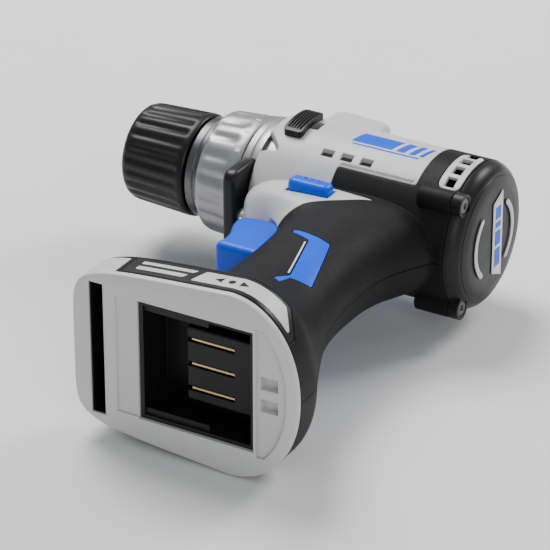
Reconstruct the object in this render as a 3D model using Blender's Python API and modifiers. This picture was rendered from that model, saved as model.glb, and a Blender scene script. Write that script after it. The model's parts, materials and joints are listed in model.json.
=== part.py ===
"""Compact cordless drill/driver, bare tool with an open battery bay.

Drill coordinates, used by every function below: X runs along the spindle with the chuck
towards -X, Y points from the handle's foot (-Y) to the top of the motor head (+Y), and Z
points to the operator's left. The spindle axis is y = 0, z = 0, and x = 0 is the rear of
the foot. The whole tool hangs under the empty "drill", which lays it on its right side
with the middle of its box above the world origin and its lowest side at z = 0.
"""
import math

import bmesh
import bpy
from mathutils import Matrix, Vector

# ---------------------------------------------------------------- driving dimensions (metres)
GAP = 0.0003                 # clearance left between neighbouring pieces
SPINDLE_HEIGHT = 0.149       # spindle axis above the foot's underside
HEAD_RADIUS = 0.0298         # motor and gearbox barrel
HEAD_FRONT = -0.092          # front edge of the light housing
HEAD_REAR = -0.005           # parting line with the rear cap
TOOL_REAR = 0.0026           # rear face of the cap
CHUCK_FRONT = -0.160
SADDLE_TOP = 0.036           # highest point, on top of the gearbox
FOOT_REAR = 0.0
FOOT_FRONT = -0.0935
FOOT_HALF_WIDTH = 0.0370
FOOT_MIDDLE = -0.029         # where the foot is widest
FOOT_TAPER = 0.145           # how much narrower the foot is at its front
RUBBER = 0.0016              # overmould thickness
CORE = 0.0019                # depth of the housing core's outside under the rubber
WALL = 0.0040                # depth of the housing's inside

BAY_FRONT = -0.066           # battery bay
BAY_REAR = -0.018
BAY_HALF_WIDTH = 0.0243
BAY_ROOF = -0.1300
RAIL_EDGE = 0.0200           # inner edge of the rails that a battery slides along
RAIL_REAR = -0.0375
LATCH_FRONT = -0.0862        # groove for the battery's latch
LATCH_REAR = -0.0802
LATCH_HALF_WIDTH = 0.0270
FRAME_LIP = 0.0024           # visible edge of the foot frame
FRAME_BLOCK_TOP = -0.1346    # top of its tall front block
FRAME_BLOCK_REAR = -0.0763

SPINDLE_RADIUS = 0.0060
SNOUT_RADIUS = 0.0198
GEARCASE_RADIUS = 0.0245
NOSE_RADIUS = 0.0265
CLUTCH_FRONT = -0.1182
CLUTCH_REAR = -0.0996
CLUTCH_RADIUS = 0.0260

JAW_ANGLE = math.radians(16.0)
JAW_RADIUS = 0.0030
JAW_OPENING = 0.0033         # distance of the gripping edges from the axis at rest
JAW_BACK = -0.1360
BODY_RADIUS = 0.0160
SLEEVE_RADIUS = 0.0213

GEAR_MODULE = 0.001
SUN_TEETH = 12
PLANET_TEETH = 12
RING_TEETH = SUN_TEETH + 2 * PLANET_TEETH
GEAR_FRONT = -0.0830
GEAR_REAR = -0.0745
CARRIER_RADIUS = (SUN_TEETH + PLANET_TEETH) * GEAR_MODULE / 2

MOTOR_RADIUS = 0.0190
SHAFT_RADIUS = 0.0016

TRIGGER_REAR = -0.0605
TRIGGER_TRAVEL = 0.006
LEVER_HALF_LENGTH = 0.0230

SCREW_PLACES = ((-0.0270, -0.0840), (-0.0540, -0.1080), (-0.0775, -0.0325))
CAP_SCREW_Y = -0.0200
CAP_SCREW_Z = 0.0220

OFFSET = Vector((-(CHUCK_FRONT + TOOL_REAR) / 2, (SPINDLE_HEIGHT - SADDLE_TOP) / 2, FOOT_HALF_WIDTH))

# ---------------------------------------------------------------- finishes
FINISHES = {
    "light_plastic": ((0.62, 0.62, 0.61), 0.45, 0.0),
    "black_rubber": ((0.020, 0.020, 0.021), 0.72, 0.0),
    "black_plastic": ((0.024, 0.024, 0.026), 0.48, 0.0),
    "blue_plastic": ((0.000, 0.200, 0.800), 0.38, 0.0),
    "nose_metal": ((0.30, 0.30, 0.31), 0.42, 0.6),
    "steel": ((0.50, 0.50, 0.51), 0.32, 1.0),
    "dark_steel": ((0.12, 0.12, 0.125), 0.40, 1.0),
    "brass": ((0.70, 0.50, 0.22), 0.35, 1.0),
    "copper": ((0.72, 0.33, 0.18), 0.40, 1.0),
    "clear_plastic": ((0.85, 0.87, 0.90), 0.12, 0.0),
    "circuit_board": ((0.03, 0.18, 0.07), 0.50, 0.0),
    "white_plastic": ((0.75, 0.75, 0.74), 0.50, 0.0),
}


def clear_scene():
    for obj in list(bpy.data.objects):
        bpy.data.objects.remove(obj, do_unlink=True)


def new_collection(name):
    collection = bpy.data.collections.new(name)
    bpy.context.scene.collection.children.link(collection)
    return collection


def finish(name):
    """The shared Principled material of one finish."""
    material = bpy.data.materials.get(name)
    if material is None:
        colour, roughness, metallic = FINISHES[name]
        material = bpy.data.materials.new(name)
        material.use_nodes = True
        shader = material.node_tree.nodes["Principled BSDF"]
        shader.inputs["Base Color"].default_value = (*colour, 1.0)
        shader.inputs["Roughness"].default_value = roughness
        shader.inputs["Metallic"].default_value = metallic
    return material


clear_scene()
PARTS = new_collection("cordless_drill")
CUTTERS = new_collection("cutters")
DRILL = bpy.data.objects.new("drill", None)
DRILL.location = OFFSET
PARTS.objects.link(DRILL)


# ---------------------------------------------------------------- shared helpers
def place(obj, look=None, parent=None):
    """File an object as a part with a finish, or as a hidden cutter without one."""
    for collection in list(obj.users_collection):
        collection.objects.unlink(obj)
    obj.parent = parent or DRILL
    if look is None:
        CUTTERS.objects.link(obj)
        obj.hide_render = True
        obj.display_type = "WIRE"
    else:
        PARTS.objects.link(obj)
        obj.hide_render = False
        obj.display_type = "TEXTURED"
        obj.data.materials.clear()
        obj.data.materials.append(finish(look))
        obj.data.shade_smooth()
        obj.data.set_sharp_from_angle(angle=math.radians(35))
    return obj


def mesh_object(name, bm, look=None, parent=None):
    mesh = bpy.data.meshes.new(name)
    bmesh.ops.recalc_face_normals(bm, faces=bm.faces)
    bm.to_mesh(mesh)
    bm.free()
    obj = bpy.data.objects.new(name, mesh)
    bpy.context.scene.collection.objects.link(obj)
    return place(obj, look, parent)


def block(name, low, high, look=None, bevel=0.0, parent=None):
    """A box between two corners, with rounded edges if bevel is given."""
    bm = bmesh.new()
    bmesh.ops.create_cube(bm, size=1.0)
    low, high = Vector(low), Vector(high)
    bmesh.ops.scale(bm, vec=high - low, verts=bm.verts)
    bmesh.ops.translate(bm, vec=(low + high) / 2, verts=bm.verts)
    if bevel:
        bmesh.ops.bevel(bm, geom=bm.edges[:], offset=bevel, segments=2, profile=0.5, affect="EDGES")
    return mesh_object(name, bm, look, parent)


def rod(name, start, end, radius, look=None, sides=20, tip=None, parent=None):
    """A round bar between two points; tip gives a different radius at the far end."""
    start, end = Vector(start), Vector(end)
    along = end - start
    bm = bmesh.new()
    far = radius if tip is None else tip
    bmesh.ops.create_cone(bm, cap_ends=True, segments=sides, radius1=radius, radius2=far,
                          depth=along.length)
    turn = along.to_track_quat("Z", "Y").to_matrix().to_4x4()
    bmesh.ops.transform(bm, matrix=Matrix.Translation((start + end) / 2) @ turn, verts=bm.verts)
    return mesh_object(name, bm, look, parent)


def turned(name, profile, look=None, steps=28, parent=None):
    """A piece turned about the spindle axis from (radius, x) points, rear end first outside."""
    bm = bmesh.new()
    points = [bm.verts.new((radius, 0.0, x)) for radius, x in profile]
    for start, end in zip(points, points[1:]):
        bm.edges.new((start, end))
    if profile[0][0] > 0.0:
        bm.edges.new((points[-1], points[0]))
    mesh = bpy.data.meshes.new(name)
    bm.to_mesh(mesh)
    bm.free()
    obj = bpy.data.objects.new(name, mesh)
    obj.rotation_euler = (0.0, math.radians(90), 0.0)
    screw = obj.modifiers.new("turn", "SCREW")
    screw.axis = "Z"
    screw.steps = steps
    screw.render_steps = steps
    screw.use_merge_vertices = True
    screw.merge_threshold = 0.00001
    screw.use_smooth_shade = True
    bpy.context.scene.collection.objects.link(obj)
    return place(obj, look, parent)


def extruded(name, outline, low, high, axis="Z", look=None, parent=None):
    """A flat outline given a thickness along one axis, as a closed mesh."""
    curve = bpy.data.curves.new(name, "CURVE")
    curve.dimensions = "2D"
    curve.fill_mode = "BOTH"
    curve.extrude = (high - low) / 2
    spline = curve.splines.new("POLY")
    spline.points.add(len(outline) - 1)
    for point, (a, b) in zip(spline.points, outline):
        point.co = (a, b, 0.0, 1.0)
    spline.use_cyclic_u = True
    guide = bpy.data.objects.new(name, curve)
    bpy.context.scene.collection.objects.link(guide)
    graph = bpy.context.evaluated_depsgraph_get()
    mesh = bpy.data.meshes.new_from_object(guide.evaluated_get(graph))
    bpy.data.objects.remove(guide, do_unlink=True)
    bm = bmesh.new()
    bm.from_mesh(mesh)
    bpy.data.meshes.remove(mesh)
    bmesh.ops.remove_doubles(bm, verts=bm.verts, dist=0.00001)
    bmesh.ops.translate(bm, vec=(0.0, 0.0, (low + high) / 2), verts=bm.verts)
    if axis == "X":       # the outline is (y, z)
        turn = Matrix(((0, 0, 1), (1, 0, 0), (0, 1, 0))).to_4x4()
        bmesh.ops.transform(bm, matrix=turn, verts=bm.verts)
    if axis == "Y":       # the outline is (z, x)
        turn = Matrix(((0, 1, 0), (0, 0, 1), (1, 0, 0))).to_4x4()
        bmesh.ops.transform(bm, matrix=turn, verts=bm.verts)
    return mesh_object(name, bm, look, parent)


def loft(name, rings, look=None, parent=None):
    """A closed skin over rings that all have the same number of points."""
    bm = bmesh.new()
    loops = [[bm.verts.new(point) for point in ring] for ring in rings]
    count = len(rings[0])
    for lower, upper in zip(loops, loops[1:]):
        for k in range(count):
            after = (k + 1) % count
            bm.faces.new((lower[k], lower[after], upper[after], upper[k]))
    bm.faces.new(loops[0])
    bm.faces.new(loops[-1])
    return mesh_object(name, bm, look, parent)


def combine(obj, operation, *others):
    for other in others:
        modifier = obj.modifiers.new(operation.lower(), "BOOLEAN")
        modifier.operation = operation
        modifier.solver = "EXACT"
        modifier.object = other
    return obj


def cut(obj, *cutters):
    return combine(obj, "DIFFERENCE", *cutters)


def grown(outline, distance):
    """The outline moved outwards by a distance, with mitred corners."""
    area = sum(a[0] * b[1] - b[0] * a[1] for a, b in zip(outline, outline[1:] + outline[:1]))
    side = 1.0 if area > 0 else -1.0
    moved = []
    for before, here, after in zip(outline[-1:] + outline[:-1], outline, outline[1:] + outline[:1]):
        into = (Vector(here) - Vector(before)).normalized()
        out = (Vector(after) - Vector(here)).normalized()
        normal = (Vector((into.y, -into.x)) + Vector((out.y, -out.x))) * side
        normal.normalize()
        reach = distance / max(0.35, normal.dot(Vector((into.y, -into.x)) * side))
        moved.append(tuple(Vector(here) + normal * reach))
    return moved


def mirrored(outline_z):
    """The same extrusion range on the other side of the mid-plane."""
    low, high = outline_z
    return -high, -low


# ---------------------------------------------------------------- outer form
# Sections of handle and foot: height above the foot's underside, front, middle, rear,
# half width, squareness of the front and of the rear, taper towards the front.
SECTIONS = (
    (FRAME_LIP + GAP, FOOT_FRONT, FOOT_MIDDLE, FOOT_REAR, 0.0368, 7.0, 2.1, FOOT_TAPER),
    (0.0140, -0.0930, FOOT_MIDDLE, -0.0004, FOOT_HALF_WIDTH, 7.0, 2.1, FOOT_TAPER),
    (0.0185, -0.0895, -0.030, -0.0025, 0.0350, 6.0, 2.1, 0.14),
    (0.0260, -0.0800, -0.034, -0.0060, 0.0285, 4.5, 2.1, 0.12),
    (0.0360, -0.0715, -0.038, -0.0105, 0.0225, 3.0, 2.1, 0.08),
    (0.0500, -0.0665, -0.0405, -0.0160, 0.0192, 2.4, 2.2, 0.05),
    (0.0680, -0.0650, -0.042, -0.0195, 0.0183, 2.4, 2.3, 0.04),
    (0.0880, -0.0655, -0.042, -0.0200, 0.0186, 2.4, 2.3, 0.04),
    (0.0990, -0.0670, -0.042, -0.0185, 0.0190, 2.6, 2.3, 0.04),
    (0.1060, -0.0740, -0.042, -0.0160, 0.0192, 3.0, 2.3, 0.05),
    (0.1120, -0.0870, -0.042, -0.0130, 0.0194, 4.0, 2.4, 0.05),
    (0.1190, -0.0905, -0.042, -0.0090, 0.0194, 4.0, 2.4, 0.05),
    (0.1300, -0.0905, -0.042, -0.0080, 0.0170, 4.0, 2.6, 0.05),
)
SECTION_POINTS = 32
WIDEST = math.cos(math.pi / SECTION_POINTS)      # sine of the section point nearest the side


def section(height, front, middle, rear, half, square_front, square_rear, taper, inset):
    """One rounded section of the handle or foot, drawn in by inset."""
    ring = []
    for k in range(SECTION_POINTS):
        angle = 2 * math.pi * (k + 0.5) / SECTION_POINTS
        c, s = math.cos(angle), math.sin(angle)
        depth = rear - middle - inset if c > 0 else middle - front - inset
        power = 2.0 / (square_rear if c > 0 else square_front)
        along = math.copysign(abs(c) ** power, c)
        across = math.copysign((abs(s) / WIDEST) ** power, s) * (half - inset)
        if c < 0:
            across *= 1.0 + taper * along
        ring.append((middle + depth * along, height - SPINDLE_HEIGHT, across))
    return ring


def foot_outline(inset):
    """The foot's underside outline as (z, x) points."""
    return [(z, x) for x, _, z in section(*SECTIONS[0], inset)]


def form(name, inset, ends=0.0):
    """The tool's outer form, drawn in by inset; ends runs a cutter out past it, or a core short of it."""
    rows = [section(*row, inset) for row in SECTIONS]
    if ends > 0:
        rows.insert(0, [(x, y - ends, z) for x, y, z in rows[0]])
    body = loft(name, rows)
    radius = HEAD_RADIUS - inset
    front, rear = HEAD_FRONT - ends, HEAD_REAR + ends
    drop = 0.0 if ends > 0 else 0.0022
    barrel = turned(name + "_barrel", [
        (0.0, rear), (radius, rear), (radius, HEAD_FRONT + 0.008),
        (radius - 0.4 * drop, HEAD_FRONT + 0.003),
        (radius - drop, front), (0.0, front)], steps=44)
    combine(body, "UNION", barrel)
    for side in (1, -1):
        centre = (CAP_SCREW_Y, side * CAP_SCREW_Z)
        boss = rod(f"{name}_boss_{side}", (-0.0190 + inset, *centre), (rear + 0.00001, *centre),
                   0.0046 - 0.85 * inset, sides=16)
        combine(body, "UNION", boss)
    if ends > 0:
        return body
    top = SADDLE_TOP - inset
    low = HEAD_RADIUS - 0.012
    saddle = extruded(name + "_saddle", [
        (-0.0860 + inset, low), (-0.0848 + inset, top - 0.0030), (-0.0825 + inset, top), (-0.0735, top),
        (-0.0725, top - 0.0010), (-0.0635 - inset, top - 0.0010), (-0.0600 - inset, top - 0.0035),
        (-0.0582 - inset, low)], -0.0215 + inset, 0.0215 - inset)
    soften = saddle.modifiers.new("soften", "BEVEL")
    soften.width = 0.0035
    soften.segments = 2
    soften.limit_method = "ANGLE"
    soften.angle_limit = math.radians(60)
    combine(body, "UNION", saddle)
    return body


# ---------------------------------------------------------------- side-view outlines (x, y)
RUBBER_AREA = [
    (-0.0570, -0.0173), (-0.0245, -0.0173), (-0.0230, -0.0150), (-0.0230, 0.0450), (0.0100, 0.0450),
    (0.0100, -0.0300), (0.0300, -0.0400), (0.0300, -0.1600), (-0.1100, -0.1600), (-0.1100, -0.0560),
    (-0.0680, -0.0520), (-0.0580, -0.0415), (-0.0500, -0.0362), (-0.0360, -0.0275), (-0.0520, -0.0252),
    (-0.0570, -0.0252)]
ACCENT_AREA = [
    (-0.0510, -0.0614), (-0.0335, -0.0656), (-0.0254, -0.0942), (-0.0330, -0.0968), (-0.0340, -0.1030),
    (-0.0372, -0.1012), (-0.0338, -0.0950), (-0.0414, -0.0676), (-0.0510, -0.0634)]
VENT_AREA = [
    (-0.0148, -0.0130), (-0.0120, -0.0160), (-0.0080, -0.0160), (-0.0057, -0.0130), (-0.0057, 0.0040),
    (-0.0070, 0.0075), (-0.0120, 0.0075), (-0.0148, 0.0040)]
VENT_SLOT_ANGLES = (116.0, 103.0, 90.0, 78.0)
LABEL_AREA = [
    (-0.0740, -0.1348), (-0.0740, -0.1452), (-0.0060, -0.1452), (-0.0060, -0.1420), (-0.0110, -0.1348)]
NOSE_NOTCH = [(-0.0960, -0.0085), (-0.0915, -0.0085), (-0.0842, -0.0158), (-0.0842, -0.0178),
              (-0.0960, -0.0178)]
SIDE_REACH = (0.0050, 0.0600)


def side_range(side):
    return SIDE_REACH if side > 0 else mirrored(SIDE_REACH)


def vent_slots(side):
    """Four cooling slots spread round the head, as one list of cutters."""
    slots = []
    for number, degrees in enumerate(VENT_SLOT_ANGLES):
        angle = math.radians(degrees)
        outward = Vector((0.0, math.cos(angle), side * math.sin(angle)))
        slot = block(f"vent_slot_{side}_{number}", (-0.0022, -0.0021, -0.0035), (0.0022, 0.0021, 0.0045))
        slot.rotation_mode = "QUATERNION"
        slot.rotation_quaternion = outward.to_track_quat("Z", "X")
        slot.location = outward * (HEAD_RADIUS - 0.0010) + Vector((-0.0103, 0.0, 0.0))
        slots.append(slot)
    return slots


def panel_vents(side):
    """Three small rectangular vents through the light panel."""
    low, high = (0.0200, 0.0350) if side > 0 else (-0.0350, -0.0200)
    return [block(f"panel_vent_{side}_{number}", (x - 0.0026, -0.0152, low), (x + 0.0026, -0.0120, high))
            for number, x in enumerate((-0.0635, -0.0550, -0.0465))]


# ---------------------------------------------------------------- casing
def casing():
    """Both clamshell halves, their rubber overmould and the pieces let into it."""
    skin_in = form("skin_inside", RUBBER, ends=0.004)
    hollow = form("hollow", WALL, ends=0.004)
    boss_zone = form("boss_zone", CORE + 0.0004, ends=-0.001)
    rubber_area = extruded("rubber_area", RUBBER_AREA, -0.0600, 0.0600)
    rubber_inner = extruded("rubber_inner", grown(RUBBER_AREA, -GAP), -0.0600, 0.0600)
    foot_block = block("foot_block_room", (-0.1100, -0.1600, -0.0500),
                       (FRAME_BLOCK_REAR + GAP, FRAME_BLOCK_TOP + GAP, 0.0500))
    trigger_room = block("trigger_room", (-0.1000, -0.0712, -0.0092),
                         (TRIGGER_REAR + TRIGGER_TRAVEL - 0.0015, -0.0432, 0.0092))
    lever_room = block("lever_room", (-0.0704, -0.0354, -0.0400), (-0.0516, -0.0276, 0.0400))
    nose_notches = [extruded(f"nose_notch_{side}", NOSE_NOTCH, *side_range(side)) for side in (1, -1)]
    for side, name in ((1, "left"), (-1, "right")):
        half = block(f"half_{name}", (-0.2000, -0.2000, GAP / 2), (0.1000, 0.1000, 0.1000))
        if side < 0:
            half = block(f"half_{name}_low", (-0.2000, -0.2000, -0.1000), (0.1000, 0.1000, -GAP / 2))
        shared = [foot_block, trigger_room, lever_room, *nose_notches]
        housing_half(side, name, half, hollow, boss_zone, rubber_area, shared)
        overmould_half(side, name, half, skin_in, rubber_inner, shared)


def housing_half(side, name, half, hollow, boss_zone, rubber_area, shared):
    """Light shell: full depth where it shows, a thinner core where rubber covers it."""
    core = form(f"core_{name}", CORE, ends=-0.0005)
    shell = form(f"housing_{name}", 0.0)
    cut(shell, rubber_area)
    combine(shell, "UNION", core)
    cut(shell, hollow)
    for number, (x, y) in enumerate(SCREW_PLACES):
        boss = rod(f"screw_boss_{name}_{number}", (x, y, side * 0.00005), (x, y, side * 0.0360), 0.0034,
                   sides=16)
        combine(boss, "INTERSECT", boss_zone)
        combine(shell, "UNION", boss)
        deep = 0.0120 if side > 0 else 0.0500
        cut(shell, rod(f"screw_hole_{name}_{number}", (x, y, side * -0.001), (x, y, side * deep), 0.0014,
                       sides=12))
        if side < 0:
            cut(shell, rod(f"screw_sink_{number}", (x, y, -0.0100), (x, y, -0.0500), 0.0031, sides=16))
    cut(shell, *shared, *vent_slots(side), *panel_vents(side))
    cap_hole = rod(f"cap_hole_{name}", (-0.0175, CAP_SCREW_Y, side * CAP_SCREW_Z),
                   (0.0100, CAP_SCREW_Y, side * CAP_SCREW_Z), 0.0017, sides=12)
    cut(shell, cap_hole)
    if side > 0:
        cut(shell, block("selector_track", (-0.0838, -0.0034, 0.0150), (-0.0738, 0.0034, 0.0400)))
    combine(shell, "INTERSECT", half)
    place(shell, "light_plastic")


def overmould_half(side, name, half, skin_in, rubber_inner, shared):
    """Black rubber skin with the vent insert, the accent and the foot label let into it."""
    skin = form(f"grip_{name}", 0.0)
    combine(skin, "INTERSECT", rubber_inner)
    cut(skin, skin_in, *shared)
    windows = (("vent_insert", VENT_AREA, "light_plastic"), ("accent", ACCENT_AREA, "blue_plastic"),
               ("foot_label", LABEL_AREA, "black_plastic"))
    for piece, outline, look in windows:
        window = extruded(f"{piece}_window_{name}", grown(outline, GAP), *side_range(side))
        cut(skin, window)
        inlay = form(f"{piece}_{name}", 0.0)
        combine(inlay, "INTERSECT", extruded(f"{piece}_area_{name}", outline, *side_range(side)))
        cut(inlay, skin_in)
        if piece == "vent_insert":
            cut(inlay, *vent_slots(side))
        place(inlay, look)
    if side < 0:
        for number, (x, y) in enumerate(SCREW_PLACES[:2]):
            cut(skin, rod(f"grip_sink_{number}", (x, y, -0.0100), (x, y, -0.0500), 0.0031, sides=16))
    combine(skin, "INTERSECT", half)
    place(skin, "black_rubber")


def rear_cap():
    """Domed motor cap with two screw bosses, a centre band and two crescent trims."""
    profile = [(0.0, TOOL_REAR - 0.0006), (0.0200, TOOL_REAR - 0.0006), (0.0222, TOOL_REAR - 0.0012),
               (0.0262, 0.0002), (0.0285, -0.0018), (0.0296, HEAD_REAR + GAP), (0.0270, HEAD_REAR + GAP),
               (0.0262, -0.0026), (0.0240, -0.0008), (0.0, -0.0008)]
    cap = turned("rear_cap", profile, "black_plastic", steps=40)
    for side, name in ((1, "left"), (-1, "right")):
        centre = (CAP_SCREW_Y, side * CAP_SCREW_Z)
        combine(cap, "UNION", rod(f"cap_boss_{name}", (HEAD_REAR + GAP, *centre), (-0.0004, *centre), 0.0046,
                                  sides=16, tip=0.0042))
        cut(cap, rod(f"cap_screw_way_{name}", (-0.0200, *centre), (0.0100, *centre), 0.0017, sides=12),
            rod(f"cap_screw_sink_{name}", (-0.0030, *centre), (0.0100, *centre), 0.0033, sides=16))
        head = rod(f"cap_screw_{name}", (-0.0170, *centre), (-0.0024, *centre), 0.0014, "dark_steel",
                   sides=12)
        combine(head, "UNION", rod(f"cap_screw_head_{name}", (-0.0027, *centre), (-0.0007, *centre), 0.0030,
                                   sides=16))
        cut(head, rod(f"cap_screw_drive_{name}", (-0.0016, *centre), (0.0010, *centre), 0.0014, sides=6))
    band = [(-0.0010, -0.0150), (0.0070, -0.0185), (0.0070, 0.0185), (-0.0010, 0.0150)]
    face = TOOL_REAR - 0.0006 + GAP
    extruded("rear_band", band, face, TOOL_REAR, axis="X", look="white_plastic")
    for name, way in (("upper", 1), ("lower", -1)):
        crescent = turned(f"rear_trim_{name}", [(0.0168, TOOL_REAR), (0.0168, face), (0.0146, face),
                                                (0.0146, TOOL_REAR)], "light_plastic", steps=40)
        keep = block(f"rear_trim_keep_{name}", (-0.01, way * 0.0225 - 0.0130, -0.0125),
                     (0.01, way * 0.0225 + 0.0130, 0.0125))
        combine(crescent, "INTERSECT", keep)


# ---------------------------------------------------------------- foot and battery bay
def foot():
    """D-shaped frame round the battery bay, its tray, terminal block and contact blades."""
    bottom = -SPINDLE_HEIGHT
    frame = extruded("foot_frame", foot_outline(0.0), bottom, bottom + FRAME_LIP, axis="Y",
                     look="light_plastic")
    inner = extruded("frame_inner", foot_outline(WALL + 0.0006), bottom + 0.001, -0.1395, axis="Y")
    front = extruded("frame_front", foot_outline(0.0), bottom + 0.0001, FRAME_BLOCK_TOP, axis="Y")
    combine(front, "INTERSECT", block("frame_front_keep", (-0.1100, -0.1600, -0.0500),
                                      (FRAME_BLOCK_REAR, -0.1300, 0.0500)))
    combine(frame, "UNION", inner, front)
    cut(frame, block("bay_hole", (BAY_FRONT, -0.1600, -BAY_HALF_WIDTH),
                     (BAY_REAR, -0.1200, BAY_HALF_WIDTH)),
        block("latch_groove", (LATCH_FRONT, -0.1600, -LATCH_HALF_WIDTH),
              (LATCH_REAR, -0.1400, LATCH_HALF_WIDTH)))
    step = extruded("rear_step", foot_outline(0.0046), -0.1600, bottom + 0.0012, axis="Y")
    combine(step, "INTERSECT", block("rear_step_keep", (BAY_REAR + 0.0010, -0.1700, -0.0260),
                                     (0.0100, -0.1300, 0.0260)))
    cut(frame, step)
    for number, z in enumerate((-0.0045, 0.0045)):
        cut(frame, block(f"catch_pocket_{number}", (-0.0155, -0.1600, z - 0.0025),
                         (-0.0085, -0.1450, z + 0.0025)))

    low = (BAY_FRONT + GAP, bottom + 0.0012, -BAY_HALF_WIDTH + GAP)
    high = (BAY_REAR - GAP, BAY_ROOF, BAY_HALF_WIDTH - GAP)
    tray = block("battery_tray", low, high, "black_plastic")
    cut(tray, block("tray_hollow", (low[0] + 0.0015, -0.1600, low[2] + 0.0015),
                    (high[0] - 0.0015, BAY_ROOF - 0.0020, high[2] - 0.0015)))
    for side in (1, -1):
        inner, outer = sorted((side * RAIL_EDGE, side * (high[2] - 0.0010)))
        combine(tray, "UNION", block(f"bay_rail_{side}", (low[0] + 0.0010, bottom + 0.0022, inner),
                                     (RAIL_REAR, bottom + 0.0036, outer)))
    roof = BAY_ROOF - 0.0020
    block("terminal_block", (-0.0500, -0.1415, -0.0150), (-0.0215, roof - GAP, 0.0150), "black_plastic",
          bevel=0.0008)
    for number, z in enumerate((-0.0100, 0.0, 0.0100)):
        cut(bpy.data.objects["terminal_block"],
            block(f"blade_slot_{number}", (-0.0515, -0.1430, z - 0.0011),
                  (-0.0300, roof - 0.0012, z + 0.0011)))
        block(f"terminal_blade_{number + 1}", (-0.0480, -0.1410, z - 0.0004),
              (-0.0303, roof - 0.0015, z + 0.0004),
              "brass")
    block("control_board", (-0.0620, -0.1242, -0.0140), (-0.0200, -0.1226, 0.0140), "circuit_board")


# ---------------------------------------------------------------- gearbox and motor
def gear_outline(teeth, outward, start=0.0, thickness=0.40):
    """Trapezoid teeth as (y, z) points, from a start in teeth; outward -1 draws a ring gear's inside."""
    pitch = teeth * GEAR_MODULE / 2
    tip = pitch + outward * 0.72 * GEAR_MODULE
    root = pitch - outward * 1.05 * GEAR_MODULE
    outline = []
    for tooth in range(teeth):
        centre = 2 * math.pi * (tooth + start) / teeth
        step = 2 * math.pi / teeth
        for radius, share in ((root, -0.5 * thickness - 0.10), (tip, -0.22 * thickness),
                              (tip, 0.22 * thickness), (root, 0.5 * thickness + 0.10)):
            angle = centre + share * step
            outline.append((radius * math.cos(angle), radius * math.sin(angle)))
    return outline


def gearbox():
    """Gearcase with its snout, and one planetary stage on the spindle axis."""
    turned("gearcase", [
        (GEARCASE_RADIUS, -0.0625), (GEARCASE_RADIUS, HEAD_FRONT - GAP), (NOSE_RADIUS, HEAD_FRONT - GAP),
        (NOSE_RADIUS, -0.0985), (NOSE_RADIUS - 0.0006, -0.0990), (SNOUT_RADIUS, -0.0990),
        (SNOUT_RADIUS, -0.1172),
        (0.0072, -0.1172), (0.0072, -0.1152), (0.0098, -0.1152), (0.0098, -0.0900), (0.0222, -0.0900),
        (0.0222, -0.0625)], "nose_metal", steps=32)
    turned("front_bearing", [(0.0095, -0.1070), (0.0095, -0.1148), (SPINDLE_RADIUS + GAP, -0.1148),
                             (SPINDLE_RADIUS + GAP, -0.1070)], "steel", steps=28)
    ring = turned("ring_gear", [(0.0219, GEAR_REAR + 0.0005), (0.0219, GEAR_FRONT - 0.0005),
                                (0.0150, GEAR_FRONT - 0.0005),
                                (0.0150, GEAR_REAR + 0.0005)], "steel", steps=28)
    cut(ring, extruded("ring_teeth", gear_outline(RING_TEETH, -1, start=0.5), -0.0900, -0.0650, axis="X"))
    carrier = turned("planet_carrier", [(0.0140, -0.0838), (0.0140, -0.0878),
                                        (SPINDLE_RADIUS + GAP, -0.0878),
                                        (SPINDLE_RADIUS + GAP, -0.0838)], "steel", steps=28)
    sun = extruded("sun_gear", gear_outline(SUN_TEETH, 1, start=0.5), GEAR_FRONT, GEAR_REAR, axis="X",
                   look="steel")
    cut(sun, rod("sun_bore", (-0.0900, 0, 0), (-0.0600, 0, 0), SHAFT_RADIUS + GAP, sides=12))
    for number in range(3):
        angle = 2 * math.pi * number / 3
        y, z = CARRIER_RADIUS * math.cos(angle), CARRIER_RADIUS * math.sin(angle)
        combine(carrier, "UNION", rod(f"carrier_pin_{number}", (-0.0845, y, z), (GEAR_REAR, y, z),
                                      0.0015, sides=12))
        hub = bpy.data.objects.new(f"planet_axis_{number + 1}", None)
        hub.location = (0.0, y, z)
        hub.parent = DRILL
        PARTS.objects.link(hub)
        planet = extruded(f"planet_gear_{number + 1}", gear_outline(PLANET_TEETH, 1), GEAR_FRONT, GEAR_REAR,
                          axis="X", look="brass", parent=hub)
        cut(planet, rod(f"planet_bore_{number}", (-0.0900, 0, 0), (-0.0600, 0, 0), 0.0018, sides=12,
                        parent=hub))
    turned("motor_mount", [(0.0219, -0.0640), (0.0219, -0.0665), (0.0045, -0.0665), (0.0045, -0.0640)],
           "dark_steel", steps=28)


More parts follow.
